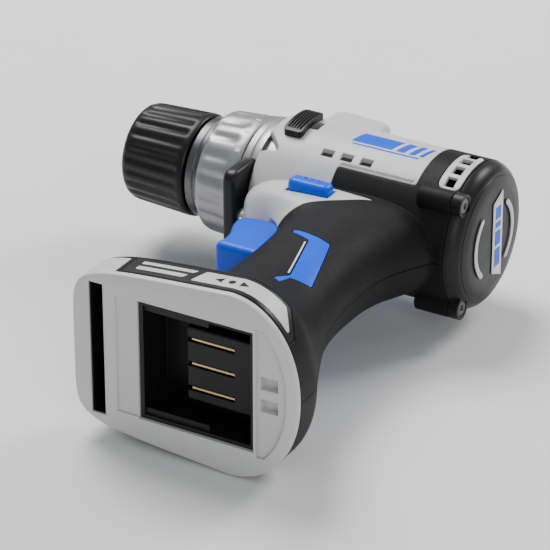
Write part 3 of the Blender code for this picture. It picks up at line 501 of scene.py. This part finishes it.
def saddle_block():
    """The raised saddle on top of the gearbox, with softened corners."""
    low = 0.0080          # well inside the barrel, so that only the rounded top shows
    outline = [(-0.0860, low), (-0.0848, SADDLE_TOP - 0.0030), (-0.0825, SADDLE_TOP), (-0.0735, SADDLE_TOP),
               (-0.0725, SADDLE_TOP - 0.0010), (-0.0635, SADDLE_TOP - 0.0010), (-0.0600, SADDLE_TOP - 0.0035),
               (-0.0582, low)]
    outline = cornered(outline, 0.0010, 3)
    centre, height, half_width, radius = -0.0722, SADDLE_TOP - low, 0.0215, 0.0050
    angles = [math.radians(15 * step) for step in range(7)]
    slices = [(radius * (1 - math.sin(angle)), half_width - radius * (1 - math.cos(angle)))
              for angle in angles]
    rings = []
    for drop, level in [(drop, -level) for drop, level in slices] + slices[::-1]:
        narrow = 1.0 - 0.5 * drop / height
        rings.append([(centre + (x - centre) * narrow, y - drop * (y - low) / height, level)
                      for x, y in outline])
    return skin("saddle", rings)


# ---------------------------------------------------------------- side-view outlines (x, y)
RUBBER_AREA = cornered([
    (-0.0570, -0.0173), (-0.0230, -0.0173), (-0.0230, 0.0450), (0.0100, 0.0450),
    (0.0100, -0.0300), (0.0300, -0.0400), (0.0300, -0.1600), (-0.1100, -0.1600), (-0.1100, -0.0560),
    (-0.0680, -0.0520), (-0.0580, -0.0415), (-0.0500, -0.0362), (-0.0360, -0.0275), (-0.0520, -0.0252),
    (-0.0570, -0.0252)], 0.0012, 3)
ACCENT_AREA = cornered([
    (-0.0510, -0.0614), (-0.0335, -0.0656), (-0.0254, -0.0942), (-0.0330, -0.0968), (-0.0340, -0.1030),
    (-0.0372, -0.1012), (-0.0338, -0.0950), (-0.0414, -0.0676), (-0.0510, -0.0634)], 0.0008, 3)
ACCENT_LINE = [(-0.0424, -0.0692), (-0.0417, -0.0692), (-0.0349, -0.0938), (-0.0356, -0.0938)]
VENT_AREA = cornered([
    (-0.0148, -0.0160), (-0.0057, -0.0160), (-0.0057, 0.0075), (-0.0148, 0.0075)], 0.0028, 4)
VENT_SLOT_ANGLES = (116.0, 103.0, 90.0, 78.0)
PANEL_VENTS = (-0.0635, -0.0550, -0.0465)
LABEL_AREA = [
    (-0.0740, -0.1345), (-0.0740, -0.1455), (-0.0055, -0.1455), (-0.0055, -0.1420), (-0.0110, -0.1345)]
LABEL_BARS = (
    [(-0.0700, -0.1366), (-0.0470, -0.1366), (-0.0482, -0.1387), (-0.0700, -0.1387)],
    [(-0.0700, -0.1404), (-0.0492, -0.1404), (-0.0504, -0.1429), (-0.0700, -0.1429)],
    [(-0.0440, -0.1360), (-0.0118, -0.1360), (-0.0070, -0.1424), (-0.0070, -0.1438), (-0.0465, -0.1438)])
LABEL_MARKS = (
    [(-0.0385, -0.1399), (-0.0352, -0.1382), (-0.0352, -0.1416)],
    [(-0.0245, -0.1399), (-0.0278, -0.1382), (-0.0278, -0.1416)],
    [(-0.0315 + 0.0014 * math.cos(a), -0.1399 + 0.0014 * math.sin(a))
     for a in (math.radians(30 * k) for k in range(12))])
STRIPE_RUNS = ((-0.0570, -0.0395), (-0.0375, -0.0340), (-0.0320, -0.0295), (-0.0275, -0.0258))
STRIPE_ANGLES = (83.5, 98.5)            # from the top of the head, in degrees
UNDERLINE_ANGLES = (100.5, 102.0)
HATCH_ANGLES = (122.0, 124.6)
HATCH_FRONT, HATCH_PITCH, HATCH_LINES = -0.0560, 0.0011, 29
BAND_MARKS = ((-0.0128, -0.0052), (-0.0038, 0.0024), (0.0038, 0.0062), (0.0076, 0.0128))
NOSE_NOTCH = [
    (-0.0960, -0.0085), (-0.0915, -0.0085), (-0.0842, -0.0158), (-0.0842, -0.0178), (-0.0960, -0.0178)]
TRIGGER_AREA = cornered([
    (-0.0605, -0.0438), (-0.0800, -0.0438), (-0.0845, -0.0470), (-0.0835, -0.0530), (-0.0805, -0.0600),
    (-0.0800, -0.0660), (-0.0815, -0.0704), (-0.0605, -0.0704)], 0.0035, 6)


def side_range(side):
    """Where a cutter for the left (1) or right (-1) side runs along Z."""
    low, high = SIDE_REACH
    return (low, high) if side > 0 else (-high, -low)


def vent_slots(name):
    """Four cooling slots on each side of the head, as one cutter."""
    bm = bmesh.new()
    for side in (1, -1):
        for degrees in VENT_SLOT_ANGLES:
            angle = math.radians(degrees)
            outward = Vector((0.0, math.cos(angle), side * math.sin(angle)))
            cube = add_box(bm, (-0.0024, -0.0021, -0.0035), (0.0024, 0.0021, 0.0045))
            turn = outward.to_track_quat("Z", "X").to_matrix().to_4x4()
            shift = Matrix.Translation(outward * (HEAD_RADIUS - 0.0010) + Vector((-0.0103, 0.0, 0.0)))
            bmesh.ops.transform(bm, matrix=shift @ turn, verts=cube)
    return mesh_object(name, bm)


# ---------------------------------------------------------------- casing
def casing():
    """Clamshell halves, overmould, and the inlays let into it."""
    outer = form("outer")
    hollow = tool(form("hollow", WALL, ends=0.004))
    under = tool(form("under", RUBBER, ends=0.004))
    slots = tool(vent_slots("slots"))
    panel_holes = [((x - 0.0026, -0.0152, middle - 0.0075), (x + 0.0026, -0.0120, middle + 0.0075))
                   for middle in (0.0275, -0.0275) for x in PANEL_VENTS]
    rooms = tool(boxes(
        "rooms",
        ((-0.1100, -0.1600, -0.0500), (FRAME_BLOCK_REAR + GAP, FRAME_BLOCK_TOP + GAP, 0.0500)),
        TRIGGER_ROOM, LEVER_ROOM, *panel_holes))
    notches = tool(prisms("notches", [NOSE_NOTCH], -CUTTER_SPAN, CUTTER_SPAN))
    notch_keep = tool(boxes("notch_keep", ((-FAR, -FAR, -FAR), (FAR, FAR, -0.005)),
                            ((-FAR, -FAR, 0.005), (FAR, FAR, FAR))))
    worked(notches, ("INTERSECT", notch_keep))
    sinks = tool(rods(
        "sinks",
        *(((x, y, -0.0100), (x, y, -0.0500), 0.0031) for x, y in SCREW_PLACES),
        *(((-0.0175, CAP_SCREW_Y, z), (0.01, CAP_SCREW_Y, z), 0.0017) for z in (CAP_SCREW_Z, -CAP_SCREW_Z))))
    track = tool(boxes("track", SELECTOR_TRACK))
    rubber = tool(prisms("rubber", [RUBBER_AREA], -CUTTER_SPAN, CUTTER_SPAN))
    rubber_inner = tool(prisms("rubber_inner", [grown(RUBBER_AREA, -GAP)], -CUTTER_SPAN, CUTTER_SPAN))

    shell = copy_of(outer, "shell")
    worked(shell, *(("DIFFERENCE", cutter) for cutter in (hollow, rooms, slots, notches, sinks)))
    housing = copy_of(shell, "housing")
    worked(housing, ("DIFFERENCE", rubber), ("DIFFERENCE", track))
    windows = []
    for side in (1, -1):
        low, high = side_range(side)
        areas = [grown(VENT_AREA, GAP), grown(ACCENT_AREA, GAP), ACCENT_LINE, grown(LABEL_AREA, GAP)]
        windows.append(tool(prisms(f"windows_{side}", areas, low, high)))
    grip = copy_of(shell, "grip")
    worked(grip, ("INTERSECT", rubber_inner), *(("DIFFERENCE", window) for window in windows))
    halves = {"left": tool(boxes("left_half", ((-FAR, -FAR, GAP / 2), (0.1, 0.1, 0.1)))),
              "right": tool(boxes("right_half", ((-FAR, -FAR, -0.1), (0.1, 0.1, -GAP / 2))))}
    for name, half in halves.items():
        part = worked(copy_of(housing, f"shell_{name}"), ("INTERSECT", half))
        piece(part, "tool", "light_plastic", f"housing_{name}")
        part = worked(copy_of(grip, f"overmould_{name}"), ("INTERSECT", half))
        piece(part, "tool", "black_rubber", f"grip_{name}")
    worked(outer, ("DIFFERENCE", under))
    for side, name in ((1, "left"), (-1, "right")):
        inlays(outer, side, name, slots)
    tools.extend((outer, shell, housing, grip))


def inlays(outer, side, name, slots):
    """Vent insert, blue accent with its white line, and the foot label with its light bars."""
    low, high = side_range(side)

    def inlay(title, outlines, *steps):
        area = tool(prisms(f"{title}_area_{name}", outlines, low, high))
        return worked(copy_of(outer, f"{title}_{name}"), ("INTERSECT", area), *steps)

    piece(inlay("vents", [VENT_AREA], ("DIFFERENCE", slots)), "tool", "light_plastic", f"vent_insert_{name}")
    piece(inlay("chevron", [ACCENT_AREA]), "tool", "blue_plastic", f"accent_{name}")
    piece(inlay("chevron_line", [ACCENT_LINE]), "tool", "white_plastic")
    bars = [cornered(bar, 0.0007, 3) for bar in LABEL_BARS]
    room = tool(prisms(f"bar_room_{name}", bars, low, high))
    piece(inlay("label", [LABEL_AREA], ("DIFFERENCE", room)), "tool", "black_plastic", f"foot_label_{name}")
    marks = tool(prisms(f"mark_room_{name}", LABEL_MARKS, low, high))
    piece(inlay("label_bars", bars, ("DIFFERENCE", marks)), "tool", "light_plastic")
    piece(inlay("label_marks", LABEL_MARKS), "tool", "black_plastic")


def panel_stripe():
    """Generic blue stripe with three short slanted blocks, printed round the light panel, a
    hatched line along the panel's lower edge, and black sheets of painted shade in its three vents."""
    radius = HEAD_RADIUS + 0.00005
    for side, name in ((1, "left"), (-1, "right")):
        bm = bmesh.new()
        for start, end in STRIPE_RUNS:
            add_patch(bm, start, end, *STRIPE_ANGLES, side, radius, lean=0.0022)
        add_patch(bm, STRIPE_RUNS[0][0], -0.0280, *UNDERLINE_ANGLES, side, radius, lean=0.0003)
        piece(mesh_object(f"panel_stripe_{name}", bm), "tool", "blue_plastic")
        hatch = bmesh.new()
        for number in range(HATCH_LINES):
            start = HATCH_FRONT + number * HATCH_PITCH
            add_patch(hatch, start, start + 0.45 * HATCH_PITCH, *HATCH_ANGLES, side, radius, lean=0.0010,
                      steps=2)
        piece(mesh_object(f"panel_hatch_{name}", hatch), "tool", "black_plastic")
        # painted shade: black sheets inside the wall behind the three panel vents, darkening them as shade would
        low, high = sorted((side * 0.0215, side * 0.0254))
        shade_sheets = boxes(f"vent_shade_sheets_{name}", *(
            ((x - 0.00255, -0.01515, low), (x + 0.00255, -0.01205, high)) for x in PANEL_VENTS))
        piece(shade_sheets, "tool", "black_plastic")


def add_patch(bm, start, end, low, high, side, radius, lean, thickness=0.00012, steps=8):
    """A thin curved patch on a cylinder between two angles from +Y; lean slants its ends."""
    rows = []
    for k in range(steps + 1):
        t = k / steps
        angle = math.radians(low + (high - low) * t)
        shift = lean * (0.5 - t)
        row = []
        for r in (radius, radius - thickness):
            for x in (start + shift, end + shift):
                row.append(bm.verts.new((x, r * math.cos(angle), side * r * math.sin(angle))))
        rows.append(row)
    for a, b in zip(rows, rows[1:]):
        for first, second in ((0, 1), (1, 3), (3, 2), (2, 0)):
            bm.faces.new((a[first], a[second], b[second], b[first]))
    for row in (rows[0], rows[-1]):
        bm.faces.new((row[0], row[1], row[3], row[2]))


# ---------------------------------------------------------------- rear cap
def rear_cap():
    """Domed motor cap with a fine groove, its screw bosses, and the band with its marks."""
    face = TOOL_REAR - 0.0006
    dome = [(0.0200, face)] + [(0.0200 + 0.0096 * math.sin(a), face - 0.0068 * (1 - math.cos(a)))
                               for a in (math.radians(15 * k) for k in range(1, 7))]
    dome[3:3] = [(dome[2][0] + 0.0002, dome[2][1] - 0.0004), (dome[2][0] + 0.0008, dome[2][1] - 0.0004)]
    profile = [(0.0, face), *dome, (0.0296, HEAD_REAR + GAP), (0.0, HEAD_REAR + GAP)]
    cap = turned("motor_cap", profile)
    centres = [(CAP_SCREW_Y, side * CAP_SCREW_Z) for side in (1, -1)]
    bosses = tool(rods("cap_bosses", *(((HEAD_REAR + 1.4 * GAP, *c), (-0.0004, *c), CAP_BOSS_RADIUS)
                                       for c in centres), sides=40))
    sinks = tool(rods("cap_sinks", *(((-0.0030, *c), (0.0101, *c), 0.0033) for c in centres), sides=36))
    worked(cap, ("UNION", bosses), ("DIFFERENCE", sinks))
    piece(cap, "tool", "black_plastic", "rear_cap")
    outline = cornered([(-0.0010, -0.0150), (0.0070, -0.0185), (0.0070, 0.0185), (-0.0010, 0.0150)],
                       0.0006, 3)
    levels = ((face + GAP, 0.0), (TOOL_REAR - 0.00018, 0.0), (TOOL_REAR - 0.00008, -0.00015))
    band = skin("cap_band", [[(x, y, z) for y, z in grown(outline, growth)] for x, growth in levels])
    piece(band, "tool", "white_plastic", "rear_band")
    bm = bmesh.new()
    for low, high in BAND_MARKS:
        add_box(bm, (TOOL_REAR - 0.00010, 0.0008, low), (TOOL_REAR, 0.0052, high))
    piece(mesh_object("band_marks", bm), "tool", "blue_plastic")


# ---------------------------------------------------------------- foot and battery bay
def foot():
    """Rim round the battery bay, with its latch groove and a black liner painting shade into it."""
    lip = skin("frame_lip", [
        [(x, y0, z) for x, _, z in section(SECTIONS[0], inset)]
        for y0, inset in ((BOTTOM, 0.0009), (BOTTOM + 0.00025, 0.0003), (BOTTOM + 0.0008, 0.0),
                          (BOTTOM + FRAME_LIP, 0.0))])
    inner = skin("frame_inner", [[(x, y0, z) for x, _, z in section(SECTIONS[0], WALL + 0.0006)]
                                 for y0 in (BOTTOM + 0.001, -0.1395)])
    levels = ((BOTTOM + 0.0012, 0.00003), (FRAME_BLOCK_TOP - 0.0006, 0.00003), (FRAME_BLOCK_TOP, 0.0006))
    front = skin("frame_front", [[(x, y0, z) for x, _, z in section(SECTIONS[0], inset)]
                                 for y0, inset in levels])
    front_keep = tool(boxes("front_keep", ((-0.11, -0.16, -0.05), (FRAME_BLOCK_REAR, -0.13, 0.05))))
    worked(front, ("INTERSECT", front_keep))
    holes = tool(boxes(
        "frame_holes",
        ((BAY_FRONT, -0.16, -BAY_HALF_WIDTH), (BAY_REAR, -0.12, BAY_HALF_WIDTH)),
        ((LATCH_FRONT, -0.16, -LATCH_HALF_WIDTH), (LATCH_REAR, -0.14, LATCH_HALF_WIDTH)),
        *(((-0.0155, -0.16, z - 0.0025), (-0.0085, -0.145, z + 0.0025)) for z in (-0.0045, 0.0045))))
    step = skin("rear_step", [[(x, y0, z) for x, _, z in section(SECTIONS[0], 0.0046)]
                              for y0 in (-0.16, BOTTOM + 0.0012)])
    step_keep = tool(boxes("step_keep", ((BAY_REAR + 0.001, -0.17, -0.026), (0.01, -0.13, 0.026))))
    worked(step, ("INTERSECT", step_keep))
    rail_step = tool(boxes("rail_step",
                           ((-0.0750, -0.16, -0.0236), (BAY_FRONT + 0.001, BOTTOM + 0.0006, 0.0236))))
    worked(lip, ("UNION", tool(inner)), ("UNION", tool(front)), ("DIFFERENCE", holes),
           ("DIFFERENCE", tool(step)), ("DIFFERENCE", rail_step))
    lip.name = "foot_rim"
    piece(lip, "tool", "light_plastic", "foot_frame")

    # painted shade: a thin black liner inside the latch groove darkens it as shade would
    well = boxes("latch_groove_shade", ((LATCH_FRONT + 0.0001, BOTTOM + 0.0006, -LATCH_HALF_WIDTH + 0.0001),
                                (LATCH_REAR - 0.0001, -0.1401, LATCH_HALF_WIDTH - 0.0001)))
    groove_shade_room = tool(boxes("groove_shade_room", ((LATCH_FRONT + 0.0005, -0.16, -LATCH_HALF_WIDTH + 0.0005),
                                         (LATCH_REAR - 0.0005, -0.1405, LATCH_HALF_WIDTH - 0.0005))))
    piece(worked(well, ("DIFFERENCE", groove_shade_room)), "tool", "black_plastic")


# ---------------------------------------------------------------- nose, clutch ring and chuck
def gearcase():
    """Satin nose of the gearbox with a groove round its shoulder and a narrower snout."""
    nose = turned("nose_case", [
        (0.0245, -0.0625), (0.0245, HEAD_FRONT - GAP), (NOSE_RADIUS, HEAD_FRONT - GAP),
        (NOSE_RADIUS, -0.0945), (NOSE_RADIUS - 0.0006, -0.0949), (NOSE_RADIUS - 0.0006, -0.0955),
        (NOSE_RADIUS, -0.0959), (NOSE_RADIUS, -0.0984), (NOSE_RADIUS - 0.0006, -0.0990),
        (SNOUT_RADIUS, -0.0990), (SNOUT_RADIUS, -0.1172), (0.0072, -0.1172), (0.0072, -0.1152),
        (0.0098, -0.1152), (0.0098, -0.0900), (0.0222, -0.0900), (0.0222, -0.0625)])
    piece(nose, "tool", "nose_metal", "gearcase")


def fluted(name, stations, flutes, depth, sharpness, bore):
    """A round grip with smooth lengthwise flutes through (x, radius, depth share) stations."""
    count = flutes * 14
    rings = []
    for x, radius, share in stations:
        ring = []
        for k in range(count):
            angle = 2 * math.pi * k / count
            dip = (0.5 + 0.5 * math.cos(flutes * angle)) ** sharpness
            r = radius - depth * share * dip
            ring.append((x, r * math.cos(angle), r * math.sin(angle)))
        rings.append(ring)
    return worked(skin(name, rings), ("DIFFERENCE", tool(bore)))


def clutch():
    """Torque ring with flutes and a printed scale of plain ticks."""
    stations = ((CLUTCH_FRONT, 0.0236, 0.0), (CLUTCH_FRONT + 0.0006, 0.0243, 0.0),
                (CLUTCH_FRONT + 0.0016, 0.0247, 0.3), (CLUTCH_FRONT + 0.0032, 0.0250, 1.0),
                (CLUTCH_REAR - 0.0062, 0.0257, 1.0), (CLUTCH_REAR - 0.0048, 0.0258, 0.0),
                (CLUTCH_REAR - 0.0008, CLUTCH_RADIUS, 0.0), (CLUTCH_REAR, CLUTCH_RADIUS - 0.0004, 0.0))
    bore = rods("clutch_bore", ((-0.13, 0, 0), (-0.09, 0, 0), SNOUT_RADIUS + GAP), sides=ROUND)
    ring = fluted("torque_ring", stations, CLUTCH_FLUTES, 0.0010, 1.6, bore)
    piece(ring, "clutch_ring", "nose_metal", "clutch_ring")
    bm = bmesh.new()
    for number in range(CLUTCH_FLUTES):
        middle = 360.0 / CLUTCH_FLUTES * (number + 0.5)
        width = 1.1 if number % 3 else 2.2
        add_patch(bm, CLUTCH_REAR - 0.0040, CLUTCH_REAR - 0.0016, middle - width, middle + width, 1,
                  CLUTCH_RADIUS - 0.00002, lean=0.0, steps=2)
    piece(mesh_object("torque_ticks", bm), "clutch_ring", "white_plastic")


def chuck():
    """Fluted black sleeve of the keyless chuck, and the dark steel ring behind it."""
    stations = ((-0.1560, 0.0180, 0.0), (-0.1556, 0.0186, 0.0), (-0.1548, 0.0194, 0.0),
                (-0.1535, 0.0200, 0.2), (-0.1515, 0.0203, 1.0), (-0.1300, SLEEVE_RADIUS, 1.0),
                (-0.1288, SLEEVE_RADIUS, 0.0), (-0.1274, SLEEVE_RADIUS - 0.0001, 0.0),
                (-0.1265, 0.0209, 0.0), (-0.1262, 0.0205, 0.0))
    bore = rods("sleeve_bore", ((-0.1500, 0, 0), (-0.1200, 0, 0), 0.0180), sides=ROUND)
    sleeve = fluted("sleeve", stations, SLEEVE_FLUTES, 0.0009, 1.3, bore)
    mouth = tool(rods("sleeve_mouth", ((-0.1600, 0, 0), (-0.1400, 0, 0), 0.0165), sides=ROUND))
    piece(worked(sleeve, ("DIFFERENCE", mouth)), "chuck_sleeve", "black_plastic", "chuck_sleeve")
    ring = turned("chuck_ring", [
        (0.0203, -0.1190), (0.0205, -0.1196), (0.0205, -0.1210), (0.0201, -0.1213), (0.0201, -0.1217),
        (0.0205, -0.1220), (0.0205, -0.1248), (0.0198, -0.1255), (0.0063, -0.1255), (0.0063, -0.1190)])
    piece(ring, "spindle", "dark_steel", "chuck_rear_ring")


# ---------------------------------------------------------------- controls and light
def controls():
    """Curved trigger with its return spring, two-ended lever, grooved selector."""
    button = pillow("trigger_button", TRIGGER_AREA, -TRIGGER_HALF_WIDTH, TRIGGER_HALF_WIDTH, 0.0026)
    piece(button, "trigger", "blue_plastic", "trigger", smooth=50)

    front, rear, height, coil, wire = -0.0598, -0.0507, -0.0570, 0.0028, 0.00035
    turns, steps, sides = 5, 20, 8
    rings = []
    for k in range(turns * steps + 1):
        angle = 2 * math.pi * k / steps
        along = front + (rear - front) * k / (turns * steps)
        around = [2 * math.pi * j / sides for j in range(sides)]
        rings.append([(along + wire * math.sin(a), height + (coil + wire * math.cos(a)) * math.cos(angle),
                       (coil + wire * math.cos(a)) * math.sin(angle)) for a in around])
    spring = piece(skin("spring_coil", rings), "tool", "steel", "trigger_spring", smooth=60)
    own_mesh(spring)

    lever = soft_block("lever_bar", (-0.0700, -0.0350, -LEVER_HALF_LENGTH),
                       (-0.0520, -0.0280, LEVER_HALF_LENGTH), 0.0024, 6)
    dents = []
    for side in (1, -1):
        for number in range(3):
            x = -0.0640 + 0.0030 * number
            z = side * (LEVER_HALF_LENGTH + 0.0006)
            dents.append(((x, -0.0330, z), (x, -0.0300, z), 0.0010))
    piece(worked(lever, ("DIFFERENCE", tool(rods("lever_dents", *dents, sides=16)))), "direction_lever",
          "blue_plastic", "direction_lever", smooth=50)

    knob = turned("selector_cap", [(0.0325, -0.0770), (0.0325, -0.0853), (HEAD_RADIUS + GAP, -0.0853),
                                   (HEAD_RADIUS + GAP, -0.0770)], steps=2 * ROUND)
    keep = tool(soft_block("selector_keep", (-0.0853, -0.0108, 0.0200), (-0.0770, 0.0080, 0.0400), 0.0016))
    grooves = tool(boxes("selector_grooves", *(((x - 0.00035, -0.0090, 0.0310), (x + 0.00035, 0.0062, 0.0400))
                                               for x in (-0.0837, -0.0824, -0.0811, -0.0798, -0.0785))))
    stem = tool(boxes("selector_stem", ((-0.0832, -0.0028, 0.0250), (-0.0802, 0.0028, 0.0308))))
    worked(knob, ("INTERSECT", keep), ("DIFFERENCE", grooves), ("UNION", stem))
    piece(knob, "speed_selector", "black_plastic", "speed_selector")


def work_light():
    """Black lamp housing under the nose, with a stepped ring round its lens."""
    outline = cornered([(-0.0365, -0.0195), (-0.0160, -0.0195), (-0.0160, 0.0195), (-0.0365, 0.0195)],
                       0.0050, 6)
    bezel = pillow("lamp_bezel", outline, -0.0980, HEAD_FRONT - GAP, 0.0016, axis="X", steps=4)
    room = tool(rods("nose_room", ((-0.11, 0, 0), (-0.08, 0, 0), NOSE_RADIUS + GAP), sides=ROUND))
    holes = tool(rods("lens_holes", ((-0.1000, LENS_Y, 0), (-0.0900, LENS_Y, 0), 0.0030)))
    ring = tool(rods("lens_ring", ((-0.1000, LENS_Y, 0), (-0.0976, LENS_Y, 0), 0.0042)))
    worked(bezel, ("DIFFERENCE", room), ("DIFFERENCE", holes), ("DIFFERENCE", ring))
    piece(bezel, "tool", "black_plastic", "light_bezel")


def cad_finishes():
    """CAD nodes that stay in view get the detailed finish of their slot."""
    slots = {part["node"]: part["material_slot"] for part in frame["record"]["subparts"]}
    for name, obj in frame["nodes"].items():
        obj.data.materials.clear()
        obj.data.materials.append(LOOKS[slots[name]])
        obj.data.shade_smooth()
        obj.data.set_sharp_from_angle(angle=math.radians(35))


# ---------------------------------------------------------------- studio
def studio():
    """Pale floor, soft lights and the camera."""
    centre = (cad_bounds[0] + cad_bounds[1]) / 2
    bm = bmesh.new()
    bmesh.ops.create_grid(bm, x_segments=1, y_segments=1, size=6.0)
    mesh = bpy.data.meshes.new("floor")
    bm.to_mesh(mesh)
    bm.free()
    floor = bpy.data.objects.new("floor", mesh)
    floor.location.z = cad_bounds[0].z - 0.0002
    bpy.context.scene.collection.objects.link(floor)
    paper = bpy.data.materials.new("paper")
    paper.use_nodes = True
    tree = paper.node_tree
    place = node(tree, "ShaderNodeTexCoord").outputs["Object"]
    speckle = node(tree, "ShaderNodeTexNoise", {"Vector": place, "Scale": 30.0, "Detail": 4.0}).outputs["Fac"]
    tone = node(tree, "ShaderNodeMix", data_type="RGBA")
    set_mix(tone, speckle, (0.78, 0.78, 0.78, 1.0), (0.82, 0.82, 0.82, 1.0), tree)
    tree.links.new(tone.outputs[2], tree.nodes["Principled BSDF"].inputs["Base Color"])
    tree.nodes["Principled BSDF"].inputs["Roughness"].default_value = 0.7
    mesh.materials.append(paper)

    world = bpy.data.worlds.new("studio")
    world.use_nodes = True
    world.node_tree.nodes["Background"].inputs["Color"].default_value = (0.94, 0.97, 1.0, 1.0)
    world.node_tree.nodes["Background"].inputs["Strength"].default_value = 0.42
    bpy.context.scene.world = world
    lights = (("key", (-0.55, 0.35, 1.10), 0.7, 19.0), ("fill", (1.00, -0.90, 0.55), 0.8, 5.0),
              ("rim", (0.50, 0.90, 0.80), 0.5, 9.0))
    for name, place, size, power in lights:
        data = bpy.data.lights.new(name, "AREA")
        data.shape = "DISK"
        data.size = size
        data.energy = power
        lamp = bpy.data.objects.new(name, data)
        lamp.location = centre + Vector(place)
        lamp.rotation_mode = "QUATERNION"
        lamp.rotation_quaternion = (-Vector(place)).to_track_quat("-Z", "Y")
        bpy.context.scene.collection.objects.link(lamp)

    azimuth, elevation, distance = math.radians(30), math.radians(28), 1.2
    back = Vector((math.sin(azimuth) * math.cos(elevation), -math.cos(azimuth) * math.cos(elevation),
                   math.sin(elevation)))
    data = bpy.data.cameras.new("camera")
    data.lens = 205
    data.sensor_width = 36
    camera = bpy.data.objects.new("camera", data)
    across = Vector((math.cos(azimuth), math.sin(azimuth), 0.0))
    aim = centre + across * 0.014 + across.cross(back) * 0.010
    camera.location = aim + back * distance
    camera.rotation_mode = "QUATERNION"
    camera.rotation_quaternion = (-back).to_track_quat("-Z", "Y")
    bpy.context.scene.collection.objects.link(camera)
    bpy.context.scene.camera = camera


cad_finishes()
casing()
panel_stripe()
rear_cap()
foot()
gearcase()
clutch()
chuck()
controls()
work_light()
studio()
for obj in tools:
    bpy.data.objects.remove(obj, do_unlink=True)
